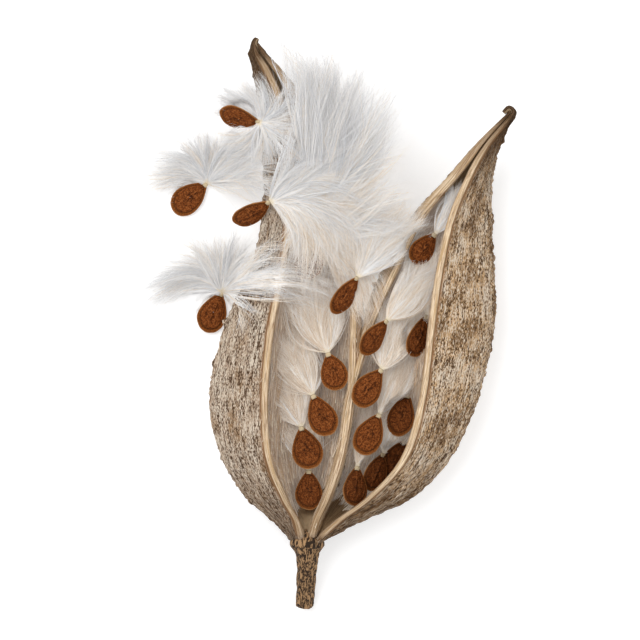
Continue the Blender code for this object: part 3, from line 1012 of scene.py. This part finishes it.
@dataclass
class Stalk:
    """The stub of stalk: a flared collar under the husk, ribbed bark and a square cut.

    top and cut are the sizes of the rings that close its ends.
    """

    beads: tuple[Bead, ...] = (
        Bead(-0.6, 1.6, 7.0, 1.0),
        Bead(-0.6, 0.2, 7.1, 2.3),
        Bead(-0.65, -1.1, 7.1, 3.4),
        Bead(-0.7, -2.2, 6.9, 3.4),
        Bead(-0.7, -3.4, 6.8, 2.6),
        Bead(-0.7, -4.6, 6.45, 2.2),
        Bead(-0.9, -8.5, 4.7, 1.9),
        Bead(-1.3, -14.4, 1.85, 1.8),
    )
    around: int = 96
    steps: int = 24
    top: tuple[float, ...] = (0.02, 0.6, 0.98)
    cut: tuple[float, ...] = (0.98, 0.8, 0.5, 0.02)
    rib: float = 0.26
    knot: float = 0.17

    def build(self, throat: np.ndarray, finish: bpy.types.Material) -> None:
        """Makes the stalk's piece.

        Args:
            throat: The throat in the row frame, in metres.
            finish: The bark.
        """
        beads = smooth_rows(self.beads, self.steps)
        turn = np.linspace(0, 2 * math.pi, self.around, endpoint=False)
        ring = circles(beads[:, :3], turn)
        steps = np.linalg.norm(np.diff(beads[:, :3], axis=0), axis=1)
        length = np.concatenate([[0], np.cumsum(steps)])
        noise, shape = Noise(5), (*ring.shape[:2], 1)
        cells = np.concatenate([
            1.9 * np.broadcast_to(np.cos(turn)[:, None], shape),
            np.broadcast_to(length[:, None, None] * 0.16, shape),
            1.9 * np.broadcast_to(np.sin(turn)[:, None], shape),
        ], -1)
        ribs = self.rib * noise.layers(cells, 3)
        knots = self.knot * noise.layers(cells * [1.3, 4.0, 1.3] + 9, 2)
        points = beads[:, None, :3] + ring * (beads[:, None, 3:] + (ribs + knots)[..., None])
        caps = []
        for rim, sizes in ((points[:1], self.top), (points[-1:], self.cut)):
            middle = rim.mean(1, keepdims=True)
            caps.append(np.concatenate([middle + (rim - middle) * size for size in sizes], 0))
        points = np.concatenate([caps[0], points, caps[1]], 0)
        points[..., 2] = np.maximum(points[..., 2], 0.0)
        spread = np.broadcast_to(turn * 2.0, points.shape[:2])
        reach = np.pad(length, (len(self.top), len(self.cut)), "edge")
        cut = np.concatenate([np.zeros(len(self.top) + len(length)), [0.2, 1, 1, 1]])
        reach = np.broadcast_to(reach[:, None], points.shape[:2])
        grain = np.stack([spread, reach, points[..., 2]], -1)
        skin = Skin(points * MM + throat)
        skin.numbers = {"grain": grain, "cut": np.broadcast_to(cut[:, None], points.shape[:2])}
        place("stalk_stub", joined("stalk_stub", [skin]), finish, Slot.STALK, "stalk")


# ---------------------------------------------------------------------------------------------
# Seeds

SEED_RINGS, SEED_COLUMNS, NECK_COLUMNS = 26, 96, 40
SEED_LOWEST = 0.03 * MM
HAIRS_PAST_END = 0.15


@dataclass(frozen=True)
class Seed:
    """One flat seed.

    heading turns its narrow end from +X, pitch lowers it and roll tips its sides, all in degrees.
    length and width are millimetres, and shade is painted shade that darkens a seed lying in the rims'
    shadow.
    """

    heading: float
    pitch: float
    roll: float
    length: float
    width: float
    shade: float = 0.0

    def facing(self) -> np.ndarray:
        """The rotation, as a 3 by 3 matrix, that turns +Y to the seed's narrow end."""
        turned = (
            Matrix.Rotation(math.radians(self.heading - 90), 3, "Z")
            @ Matrix.Rotation(math.radians(-self.pitch), 3, "X")
            @ Matrix.Rotation(math.radians(self.roll), 3, "Y")
        )
        return np.array(turned)

    def skin(self, middle: np.ndarray, seed: int) -> Skin:
        """The seed's coat: a swollen body with a ridge, inside a thin uneven margin.

        Args:
            middle: The seed's middle in the row frame, in metres.
            seed: Picks its wrinkles.

        Returns:
            The grid from the middle of its top, over the margin, to the middle of its underside.
        """
        turn = np.linspace(0, 2 * math.pi, SEED_COLUMNS, endpoint=False)[None]
        outwards = np.linspace(0.01, 1, SEED_RINGS) ** 0.85
        share = np.concatenate([outwards, outwards[::-1]])[:, None]
        top = np.repeat([1.0, -1.0], SEED_RINGS)[:, None]
        noise = Noise(100 + seed)
        circle = np.stack([np.cos(turn), np.sin(turn), np.full_like(turn, seed)], -1)
        edge = 1 + 0.03 * noise.layers(circle * 1.7, 3)
        y = share * np.sin(turn) * edge
        x = share * np.cos(turn) * edge * (1.04 - 0.38 * y - 0.20 * y**2)
        y = np.where(y > 0.90, 0.90 + (y - 0.90) * 0.7, y)
        body = np.sqrt(np.clip(1 - (share / 0.84) ** 2, 0, 1))
        wing = 0.13 + 0.10 * smoothstep(0.86, 0.98, share)
        ridge = 0.20 * np.exp(-((x / 0.08) ** 2)) * smoothstep(0.75, 0.2, np.abs(y)) * (top > 0)
        margin = wing * np.sqrt(np.clip(1.02 - share**10, 0.02, 1))
        height = np.maximum(0.50 * body**0.8, margin) + ridge
        flat = np.stack([x * self.width / 2, y * self.length / 2, np.full_like(x, 3.0 * seed)], -1)
        wrinkles = noise.layers(flat * [1.5, 0.75, 1], 3)
        grains = noise.layers(flat * [4.0, 2.6, 1], 2)
        rings = 0.03 * np.sin(share * 26 + 3 * wrinkles) * smoothstep(0.25, 0.6, share)
        bumps = 0.09 * wrinkles + 0.03 * grains + rings
        height = top * (height + bumps * smoothstep(1.0, 0.9, share))
        dish = 0.16 * (x**2 - 0.3) + 0.18 * noise(flat * 0.35)
        local = np.stack([flat[..., 0], flat[..., 1], height + dish], -1)
        points = local @ self.facing().T * MM + middle
        ones = np.ones_like(x)
        # The stored shade is painted shade, for seeds in the rims' shadow.
        return Skin(points[:, ::-1], numbers={
            "wing": (smoothstep(0.74, 0.86, share + 0.05 * wrinkles) * ones)[:, ::-1],
            "neck": 0 * ones,
            "tone": self.shade * ones,
            "reach": share * ones,
            "grain": (flat + np.stack([0 * x, 0 * x, top * 5 + x * 0], -1))[:, ::-1],
        })

    def neck(self, middle: np.ndarray, seed: int) -> Skin:
        """The small pale stub at the narrow end, where the hairs are rooted.

        Args:
            middle: The seed's middle in the row frame, in metres.
            seed: Picks its unevenness.

        Returns:
            The grid.
        """
        turn = np.linspace(0, 2 * math.pi, NECK_COLUMNS, endpoint=False)[None]
        along = np.array([-0.5, -0.5, 0.0, 0.2, 0.35, 0.38])[:, None]
        half_width = np.array([0.02, 0.50, 0.56, 0.52, 0.42, 0.02])[:, None]
        half_height = np.array([0.02, 0.20, 0.27, 0.29, 0.22, 0.02])[:, None]
        cells = [2 * np.cos(turn) + 0 * along, 2 * np.sin(turn) + 0 * along, along + 0 * turn]
        rough = 1 + 0.16 * Noise(300 + seed)(np.stack(cells, -1))
        local = np.stack([
            half_width * np.cos(turn) * rough,
            self.length / 2 * 0.93 + along + 0 * turn,
            half_height * np.sin(turn) * rough,
        ], -1)
        points = local @ self.facing().T * MM + middle
        ones = np.ones(points.shape[:2])
        return Skin(points, numbers={
            "wing": 0 * ones, "neck": ones, "tone": 0 * ones, "reach": 0 * ones, "grain": local,
        })

    def build(self, name: str, finish: bpy.types.Material, seed: int) -> None:
        """Makes the seed's piece.

        Args:
            name: Its CAD node.
            finish: The seed coat.
            seed: Picks its wrinkles.
        """
        middle = np.mean(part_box(name), axis=0)
        skins = [self.skin(middle, seed), self.neck(middle, seed)]
        for skin in skins:
            skin.points[..., 2] = np.maximum(skin.points[..., 2], SEED_LOWEST)
        piece = name.replace("seed", "seed_coat")
        place(piece, joined(piece, skins), finish, Slot.SEED, name)

    def middle(self, name: str, throat: np.ndarray) -> np.ndarray:
        """Where its middle is.

        Args:
            name: Its CAD node.
            throat: The throat in the row frame, in metres.

        Returns:
            The place, in millimetres from the throat.
        """
        return (np.mean(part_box(name), axis=0) - throat) / MM

    def root(self, name: str, throat: np.ndarray) -> np.ndarray:
        """Where its hairs start.

        Args:
            name: Its CAD node.
            throat: The throat in the row frame, in metres.

        Returns:
            The place, in millimetres from the throat.
        """
        return self.middle(name, throat) + self.facing() @ [0, self.length / 2 + HAIRS_PAST_END, 0]


# ---------------------------------------------------------------------------------------------
# Silk


def below_seeds(
    path: np.ndarray, seeds: np.ndarray, drop: float, reach: float, slope: float
) -> np.ndarray:
    """The greatest height at which hairs stay below the seeds that they cross.

    Args:
        path: The points of each hair.
        seeds: The middles of the seeds.
        drop: How far below a seed's middle the hairs pass.
        reach: How far from its middle they do so.
        slope: How fast they may rise beyond that.

    Returns:
        The points' heights, lowered where they have to be.
    """
    height = path[..., 2].copy()
    for middle in seeds:
        gap = np.hypot(path[..., 0] - middle[0], path[..., 1] - middle[1])
        height = np.minimum(height, middle[2] - drop + np.maximum(gap - reach, 0) * slope)
    return height


class Ground:
    """A map of how high the husk stands above the surface, so that loose hairs lie over it.

    Lengths are millimetres from the throat.
    """

    low = np.array([-60.0, -40.0])
    cell = 0.5
    cells = (260, 320)
    reach = 3

    def __init__(self, lobes: list[Lobe]) -> None:
        """Measures the lobes from above. A high place also lifts the cells within its reach.

        Args:
            lobes: The husk's halves.
        """
        seen = np.zeros(self.cells)
        for lobe in lobes:
            points = lobe.rings()[0].reshape(-1, 3)
            np.maximum.at(seen, self.cell_of(points), points[:, 2])
        self.heights = seen.copy()
        near = range(-self.reach, self.reach + 1)
        for x, y in ((x, y) for x in near for y in near if math.hypot(x, y) <= self.reach):
            self.heights = np.maximum(self.heights, np.roll(seen, (x, y), (0, 1)))

    def cell_of(self, points: np.ndarray) -> tuple[np.ndarray, np.ndarray]:
        """The column and the row of the map that each point is in."""
        found = ((points[..., :2] - self.low) / self.cell).astype(int)
        return tuple(np.clip(found[..., axis], 0, self.cells[axis] - 1) for axis in (0, 1))

    def drape(self, path: np.ndarray, clear: float = 0.3, passes: int = 4) -> np.ndarray:
        """Lifts hairs over the husk, and keeps them smooth.

        Args:
            path: The points of each hair.
            clear: How far above it they pass.
            passes: How often they are smoothed.

        Returns:
            The lifted points.
        """
        share = np.linspace(0, 1, path.shape[1])
        least = (self.heights[self.cell_of(path)] + clear) * smoothstep(0.0, 0.25, share)
        height = np.maximum(path[..., 2], least)
        for _ in range(passes):
            smooth = height.copy()
            smooth[:, 1:-1] = (height[:, :-2] + 2 * height[:, 1:-1] + height[:, 2:]) / 4
            height = np.maximum(smooth, least)
        return np.concatenate([path[..., :2], height[..., None]], -1)


@dataclass(frozen=True)
class Fan:
    """Hairs that leave a seed over a range of headings, in degrees from +X.

    rise is how much higher their ends are than the root, arch how much they bow upwards, depth how
    far they scatter up and down, and bend how far they bow to the left, as a share of their length.
    """

    low: float
    high: float
    length: float
    rise: float
    hairs: int
    arch: float = 1.2
    depth: float = 1.0
    warm: float = 0.22
    bend: float = 0.0


@dataclass
class Tuft:
    """All the hairs of one seed, in clumps.

    spread is how far a clump's hairs scatter, as a share of the fan, strays the share of hairs that
    scatter stray_spread times further, sway, curl and drift how far clumps and hairs leave their
    curves, as shares of the length, and unevenness and own_unevenness how much shorter than the fan
    a clump and a hair can be.
    """

    root: np.ndarray
    heading: float
    fans: list[Fan]
    ground: Ground
    seeds: np.ndarray
    loose: bool
    steps: int = 9
    thickness: float = 0.058
    neck_half: float = 0.45
    clump: int = 15
    sway: float = 0.07
    curl: float = 0.16
    drift: float = 0.034
    spread: float = 0.085
    strays: float = 0.10
    stray_spread: float = 4.0
    unevenness: float = 0.42
    own_unevenness: float = 0.24

    def hairs(self, fan: Fan, chance: np.random.Generator) -> tuple[np.ndarray, np.ndarray]:
        """The paths of one fan's hairs.

        Args:
            fan: The fan.
            chance: Where its scatter comes from.

        Returns:
            The points of each hair in millimetres from the throat, and its warmth; low warmth is grey,
            a painted shade.
        """
        count = fan.hairs
        groups = max(count // self.clump, 1)
        group = chance.integers(0, groups, count)
        centre = np.stack([chance.uniform(-1, 1, groups), chance.normal(size=groups) * 0.6], -1)
        stray = np.where(chance.random((count, 1)) < self.strays, self.stray_spread, 1.0)
        place_in = centre[group] + chance.normal(size=(count, 2)) * self.spread * stray
        angle = np.radians((fan.low + fan.high) / 2 + place_in[:, 0] * (fan.high - fan.low) / 2)
        own = np.stack([np.cos(angle), np.sin(angle), 0 * angle], -1)
        turn = math.radians(self.heading)
        axis = np.array([math.cos(turn), math.sin(turn), 0])
        reach = 1 - self.unevenness * chance.random(groups)[group] ** 1.2
        reach = reach - self.own_unevenness * chance.random(count) ** 1.5
        length = (fan.length * reach)[:, None]
        lift = np.array([0, 0, 1.0])
        rise = fan.rise * reach + place_in[:, 1] * fan.depth
        last = self.root + own * length + lift * rise[:, None]
        leaving = unit(own + 0.5 * axis)
        bow = fan.arch + fan.rise * 0.5 * reach + place_in[:, 1] * fan.depth * 0.6
        leftwards = np.stack([-own[:, 1], own[:, 0], own[:, 2]], -1)
        curl = (fan.bend + chance.normal(size=groups)[group] * self.curl)[:, None] * length
        control = self.root + leaving * length * 0.45 + lift * bow[:, None] + leftwards * curl
        flat = np.array([-math.sin(turn), math.cos(turn), 0])
        seat = np.sin(angle - turn)[:, None] * 0.8 + chance.normal(size=(count, 1)) * 0.35
        seat = np.clip(seat, -1, 1)
        first = self.root + flat * seat * self.neck_half + lift * chance.normal(size=(count, 1)) * 0.10
        t = np.linspace(0, 1, self.steps + 1)[None, :, None]
        path = (1 - t) ** 2 * first[:, None] + 2 * t * (1 - t) * control[:, None]
        path = path + t**2 * last[:, None]
        swing = unit(chance.normal(size=(groups, 3)) * [1, 1, 0.5])[group][:, None] * length[:, None]
        drift = unit(chance.normal(size=(count, 3)))[:, None] * length[:, None]
        phase = chance.random(groups)[group][:, None, None]
        path = path + swing * self.sway * np.sin(t * math.pi * (1.0 + phase)) * t
        path = path + drift * self.drift * t**1.5 * (1 + np.sin(t * 7 + group[:, None, None]))
        if self.loose:
            path = self.ground.drape(path)
        height = below_seeds(path, self.seeds, 1.0, 3.3, 6.0)
        path[..., 2] += (height - path[..., 2]) * smoothstep(0.03, 0.12, t[..., 0])
        warm = fan.warm + chance.normal(size=groups)[group] * 0.10 + chance.normal(size=count) * 0.10
        return path, np.clip(warm, 0, 1)

    def mesh(self, name: str, throat: np.ndarray, seed: int) -> bpy.types.Mesh:
        """The tuft's hairs.

        Args:
            name: The mesh's name.
            throat: The throat in the row frame, in metres.
            seed: Picks the scatter.

        Returns:
            The mesh, in the row frame.
        """
        chance = np.random.default_rng(seed)
        made = [self.hairs(fan, chance) for fan in self.fans]
        path = np.concatenate([one[0] for one in made])
        warm = np.concatenate([one[1] for one in made])
        return hair_mesh(name, path, warm, self.thickness, throat, chance)


def hair_mesh(
    name: str, path: np.ndarray, warm: np.ndarray, thickness: float, throat: np.ndarray,
    chance: np.random.Generator,
) -> bpy.types.Mesh:
    """Tapering tubes of three sides along every hair.

    Args:
        name: The mesh's name.
        path: The points of each hair, in millimetres from the throat.
        warm: How beige each hair is; at low values it is grey, a painted shade.
        thickness: How thick a hair is at its root, in millimetres.
        throat: The throat in the row frame, in metres.
        chance: Turns the tubes.

    Returns:
        The mesh, in the row frame.
    """
    path[..., 2] = np.maximum(path[..., 2], 0.08)
    along = unit(np.gradient(path, axis=1))
    across = unit(np.cross(along, unit(chance.normal(size=(len(path), 1, 3)))))
    third = np.cross(along, across)
    share = np.linspace(0, 1, path.shape[1])
    radius = thickness / 2 * (1 - 0.75 * share**2.5) * np.exp(chance.normal(size=(len(path), 1)) * 0.35)
    turn = np.arange(3) * 2 * math.pi / 3
    ring = across[:, :, None] * np.cos(turn)[None, None, :, None]
    ring = ring + third[:, :, None] * np.sin(turn)[None, None, :, None]
    points = path[:, :, None] + ring * radius[:, :, None, None]
    count, rows, sides = points.shape[:3]
    numbers = np.arange(count * rows * sides).reshape(count, rows, sides)
    after = np.roll(numbers, -1, 2)
    faces = np.stack([numbers[:, :-1], after[:, :-1], after[:, 1:], numbers[:, 1:]], -1)
    shape = (count, rows - 1, sides)
    left = np.broadcast_to(0.005 + 0.97 * warm[:, None, None] + 0.006 * np.arange(sides), shape)
    low, high = (np.broadcast_to(part[None, :, None], shape) for part in (share[:-1], share[1:]))
    flat = np.stack([left, low, left + 0.006, low, left + 0.006, high, left, high], -1)
    stored = {
        "along": np.broadcast_to(share[None, :, None], (count, rows, sides)).ravel(),
        "tone": np.broadcast_to(warm[:, None, None], (count, rows, sides)).ravel(),
    }
    places = points.reshape(-1, 3) * MM + throat
    return mesh_from(name, places, faces.reshape(-1, 4), stored, flat.reshape(-1, 4, 2))


@dataclass
class PackedSilk:
    """The bed of pressed silk that fills a lobe under its seeds.

    It runs from start to stop along Y, and hangs depth below the rims. Lengths are millimetres.
    """

    name: str
    lobe: Lobe
    start: float
    stop: float
    hairs: int
    depth: float = 7.6
    steps: int = 9
    length: float = 17.0
    thickness: float = 0.11
    warm: float = 0.90
    rim_gap: float = 1.3
    floor_gap: float = 0.3

    def build(
        self, throat: np.ndarray, seeds: np.ndarray, finish: bpy.types.Material, seed: int
    ) -> None:
        """Makes the bed's piece.

        Args:
            throat: The throat in the row frame, in metres.
            seeds: The middles of the seeds that it stays under, in millimetres from the throat.
            finish: The silk.
            seed: Picks the scatter.
        """
        chance = np.random.default_rng(seed)
        rows = smooth_rows(self.lobe.stations, 8)
        count = self.hairs
        across = chance.uniform(0.03, 0.97, count)[:, None]
        begin = chance.uniform(self.start - 4, self.stop - 6, count)[:, None]
        length = self.length * chance.uniform(0.6, 1.2, count)[:, None]
        t = np.linspace(0, 1, self.steps + 1)[None]
        lowest = self.start + chance.exponential(2.0, (count, 1)) - 1.5
        y = np.clip(begin + length * t, lowest, self.stop)
        across = across + chance.normal(size=(count, 1)) * 0.10 * (t - 0.5)
        near, far, near_z, far_z, belly = (
            np.interp(y, rows[:, 0], rows[:, column]) for column in (2, 3, 5, 6, 7)
        )
        x = near + (far - near) * across
        hang = 1 - np.abs(2 * across - 1) ** 3
        top = near_z + (far_z - near_z) * across
        z = top - self.rim_gap - self.depth * hang + chance.normal(size=(count, 1)) * 0.5
        z = z + 0.5 * np.sin(t * 5 + chance.uniform(0, 6, (count, 1)))
        path = np.stack([x, y, z], -1)
        floor = np.maximum(belly, 0) + self.lobe.wall + self.floor_gap
        path[..., 2] = np.maximum(below_seeds(path, seeds, 1.2, 3.6, 1.5), floor)
        warm = np.clip(self.warm + chance.normal(size=count) * 0.16, 0, 1)
        mesh = hair_mesh(self.name, path, warm, self.thickness, throat, chance)
        place(self.name, mesh, finish, Slot.SILK, None)


# A seed's sixth number, where it has one, is painted shade for seeds in the rims' shadow.
SEEDS = {
    "seed_left_row_1": Seed(90, 8, 0, 8.0, 5.2, 0.25),
    "seed_left_row_2": Seed(104, 10, 6, 8.8, 5.8, 0.15),
    "seed_left_row_3": Seed(113, 10, 0, 8.8, 5.4, 0.05),
    "seed_left_row_4": Seed(107, 10, -8, 7.8, 5.2),
    "seed_right_row_1": Seed(84, 8, 25, 8.0, 5.0, 0.3),
    "seed_right_row_2": Seed(64, 8, 6, 9.0, 5.4),
    "seed_right_row_3": Seed(55, 8, 14, 8.9, 5.3),
    "seed_right_row_4": Seed(52, 10, 40, 8.5, 5.0),
    "seed_under_rim_1": Seed(69, 6, 28, 8.0, 4.8, 0.3),
    "seed_under_rim_2": Seed(62, 4, 14, 8.4, 4.8, 0.4),
    "seed_under_rim_3": Seed(74, 6, -16, 8.8, 5.2, 0.2),
    "seed_under_rim_4": Seed(69, 6, 36, 8.8, 5.0, 0.1),
    "seed_under_rim_5": Seed(51, 6, 22, 7.4, 4.7),
    "seed_on_ridge": Seed(55, 0, 42, 8.7, 5.0),
    "seed_loose_1": Seed(68, -3, 0, 8.6, 5.4),
    "seed_loose_2": Seed(40, -3, 0, 8.8, 5.3),
    "seed_loose_3": Seed(31, -22, 42, 8.9, 5.0),
    "seed_loose_4": Seed(-13, -12, 44, 8.5, 5.2),
    "seed_in_fluff_1": Seed(60, -6, 0, 8.2, 5.0),
    "seed_in_fluff_2": Seed(66, -6, 0, 8.0, 4.8),
    "seed_in_fluff_3": Seed(84, -12, 0, 7.4, 3.8),
}

BRUSHES = {
    "seed_left_row_1": [Fan(72, 128, 12.0, -0.4, 1300, warm=0.60)],
    "seed_left_row_2": [Fan(84, 138, 14.0, -0.6, 1800, warm=0.57)],
    "seed_left_row_3": [Fan(90, 142, 15.5, -0.6, 2200, warm=0.55)],
    "seed_left_row_4": [Fan(72, 128, 18.0, -0.6, 3200, warm=0.53)],
    "seed_right_row_1": [Fan(58, 88, 13.0, -0.8, 1100, warm=0.58)],
    "seed_right_row_2": [Fan(48, 84, 15.5, -1.4, 1600, warm=0.54)],
    "seed_right_row_3": [Fan(48, 90, 16.5, -2.0, 2200, warm=0.51)],
    "seed_right_row_4": [Fan(36, 70, 16.5, -3.2, 2200, warm=0.46)],
    "seed_under_rim_1": [Fan(50, 75, 12.5, -0.4, 900, warm=0.54)],
    "seed_under_rim_2": [Fan(65, 85, 13.0, -0.4, 900, warm=0.54)],
    "seed_under_rim_3": [Fan(74, 114, 13.5, -0.4, 1500, warm=0.50)],
    "seed_under_rim_4": [Fan(72, 88, 14.5, -0.4, 1200, warm=0.48)],
    "seed_under_rim_5": [Fan(60, 70, 12.0, -0.6, 1000, 0.3, 0.4, 0.3)],
    "seed_on_ridge": [
        Fan(32, 66, 19.5, 0.6, 2600, warm=0.38, bend=0.04),
        Fan(24, 84, 14.0, 0.2, 700, warm=0.3),
    ],
}

SPREADS = {
    "seed_loose_1": [
        Fan(172, 196, 21.3, 0.6, 400, bend=-0.12),
        Fan(196, 250, 8.0, -1.0, 120),
        Fan(120, 178, 15.5, 2.5, 560, bend=-0.08),
        Fan(75, 125, 13.0, 4.0, 620),
        Fan(35, 80, 14.0, 8.0, 560),
        Fan(5, 42, 18.0, 14.0, 380, 4.0, warm=0.3, bend=0.06),
        Fan(-12, 8, 26.0, 15.5, 300, 6.0, warm=0.3, bend=0.10),
        Fan(-70, -10, 10.0, 9.0, 130, 4.0, warm=0.35),
    ],
    "seed_loose_2": [
        Fan(152, 196, 16.5, 1.5, 560, bend=-0.12),
        Fan(98, 155, 12.0, 3.0, 600, bend=-0.05),
        Fan(55, 105, 12.0, 6.0, 560),
        Fan(15, 60, 15.5, 12.0, 750, 3.0, bend=0.05),
        Fan(-24, 20, 17.0, 12.5, 700, 3.0, bend=0.06),
    ],
    "seed_loose_3": [
        Fan(8, 38, 22.0, 4.5, 800, 2.0, warm=0.28, bend=0.05),
        Fan(34, 75, 18.5, 4.5, 600, 2.0),
        Fan(-32, 12, 23.0, 3.5, 950, 3.0, warm=0.3, bend=0.14),
        Fan(-68, -24, 20.5, 2.5, 1330, 3.5, warm=0.40, bend=0.16),
    ],
    "seed_loose_4": [
        Fan(82, 150, 10.5, 0.6, 700, bend=-0.06),
        Fan(132, 172, 11.5, -3.5, 600, -1.5),
        Fan(20, 62, 10.0, 2.0, 360),
        Fan(-40, 25, 9.5, 1.5, 500, warm=0.28),
        Fan(-105, -40, 10.0, 0.5, 450),
        Fan(192, 250, 11.0, -2.0, 500, -0.5),
    ],
    "seed_in_fluff_1": [
        Fan(-2, 30, 20.5, 3.5, 750, 2.5, 1.5, 0.25),
        Fan(25, 62, 23.0, 4.5, 750, 3.0, 1.5, 0.35),
        Fan(-66, 0, 17.0, -0.5, 1050, 1.5, 1.2, 0.42),
        Fan(-68, -47, 20.5, -1.5, 850, 0.8, 1.0, 0.54),
        Fan(60, 120, 13.0, 3.0, 290, 2.0, 1.2, 0.5),
    ],
    "seed_in_fluff_2": [
        Fan(48, 74, 31.5, 6.0, 1100, 4.0, 1.8, 0.2, -0.05),
        Fan(22, 52, 23.0, 5.0, 900, 3.5, 1.8, 0.26),
        Fan(70, 96, 29.0, 6.0, 700, 4.0, 1.8, 0.22),
        Fan(-130, -30, 16.0, 3.5, 1000, 3.5, 0.8, 0.42),
    ],
    "seed_in_fluff_3": [
        Fan(72, 94, 25.0, 5.0, 1300, 3.0, 1.6, 0.2, -0.06),
        Fan(92, 104, 29.5, 3.5, 420, 3.0, 1.4, 0.18, -0.14),
        Fan(50, 80, 23.5, 5.5, 900, 3.5, 1.6, 0.24, -0.06),
        Fan(105, 165, 8.0, 1.5, 200, 1.5, 1.0, 0.3),
        Fan(-120, 20, 10.0, 2.0, 600, 2.5, 1.0, 0.4),
    ],
}


# ---------------------------------------------------------------------------------------------
# Studio


@dataclass
class Studio:
    """A white surface, soft light from above and a camera that looks straight down.

    Lengths are metres. field_width is how much the camera sees at the height of what it aims at.
    """

    field_width: float = 0.128
    distance: float = 1.0
    aim: Point = (-0.0046, 0.00085, 0.012)
    sky: float = 0.72
    half: float = 1.2
    light_grey: Colour = (0.69, 0.69, 0.69)
    lighter_grey: Colour = (0.71, 0.71, 0.71)

    def build(self) -> None:
        """Makes the surface, the lights and the camera."""
        self.surface()
        self.light("key", (-0.35, 0.30, 0.75), 0.6, 4.6)
        self.light("fill", (0.45, -0.30, 0.70), 0.8, 1.2)
        world = bpy.data.worlds.new("studio")
        world.use_nodes = True
        background = world.node_tree.nodes["Background"]
        background.inputs["Color"].default_value = (1, 1, 1, 1)
        background.inputs["Strength"].default_value = self.sky
        bpy.context.scene.world = world
        bpy.context.scene.view_settings.view_transform = "Standard"
        camera = bpy.data.cameras.new("camera")
        camera.lens = camera.sensor_width * (self.distance - self.aim[2]) / self.field_width
        camera.clip_end = 10
        holder = bpy.data.objects.new("camera", camera)
        holder.location = (self.aim[0], self.aim[1], self.distance)
        bpy.context.scene.collection.objects.link(holder)
        bpy.context.scene.camera = holder

    def surface(self) -> None:
        """Makes the pale surface that the pod lies on."""
        sheet = Sheet(
            "white_surface", Roughness=0.9, Specular_IOR_Level=0.0,
            Emission_Color=(1.0, 1.0, 1.0), Emission_Strength=0.45,
        )
        speckle = sheet.noise(sheet.node("ShaderNodeTexCoord").outputs["Object"], 2)
        colour = sheet.mix(speckle, self.light_grey, self.lighter_grey)
        sheet.feed(sheet.shader.inputs["Base Color"], colour)
        mesh = bpy.data.meshes.new("surface")
        corners = [(x * self.half, y * self.half, 0) for x, y in ((-1, -1), (1, -1), (1, 1), (-1, 1))]
        mesh.from_pydata(corners, [], [(0, 1, 2, 3)])
        mesh.materials.append(sheet.material)
        floor = bpy.data.objects.new("surface", mesh)
        bpy.context.scene.collection.objects.link(floor)

    def light(self, name: str, at: Point, size: float, power: float) -> None:
        """Makes a square soft light that faces the pod.

        Args:
            name: The light's name.
            at: Where it hangs, in metres.
            size: The length of its side, in metres.
            power: Its power, in watts.
        """
        lamp = bpy.data.lights.new(name, "AREA")
        lamp.size = size
        lamp.energy = power
        holder = bpy.data.objects.new(name, lamp)
        holder.location = at
        holder.rotation_euler = (-Vector(at)).to_track_quat("-Z", "Y").to_euler()
        holder.visible_camera = False
        bpy.context.scene.collection.objects.link(holder)


def main() -> None:
    """Builds every piece, then the studio round them."""
    logging.basicConfig(level=logging.INFO, format="%(name)s %(message)s")
    husk = Husk()
    throat = husk.throat()
    husk.build(HuskFinish().make())
    Stalk().build(throat, StalkFinish().make())
    coat, silk = SeedFinish().make(), SilkFinish().make()
    ground = Ground([husk.left, husk.right])
    middles = {name: seed.middle(name, throat) for name, seed in SEEDS.items()}
    bare = np.array([at for name, at in middles.items() if "in_fluff" not in name])
    for number, (name, seed) in enumerate(SEEDS.items()):
        seed.build(name, coat, number)
        fans = SPREADS.get(name) or BRUSHES[name]
        loose = name in SPREADS or name == "seed_on_ridge"
        tuft = Tuft(seed.root(name, throat), seed.heading, fans, ground, bare, loose)
        node, piece = name.replace("seed", "silk"), name.replace("seed", "silk_hairs")
        place(piece, tuft.mesh(piece, throat, 500 + number), silk, Slot.SILK, node)
    everywhere = np.array(list(middles.values()))
    left = PackedSilk("packed_silk_left", husk.left, 2.2, 72.0, 3600)
    left.build(throat, everywhere, silk, 700)
    right = PackedSilk("packed_silk_right", husk.right, 6.0, 68.0, 3400)
    right.build(throat, everywhere, silk, 701)
    Studio().build()


if __name__ == "__main__":
    main()
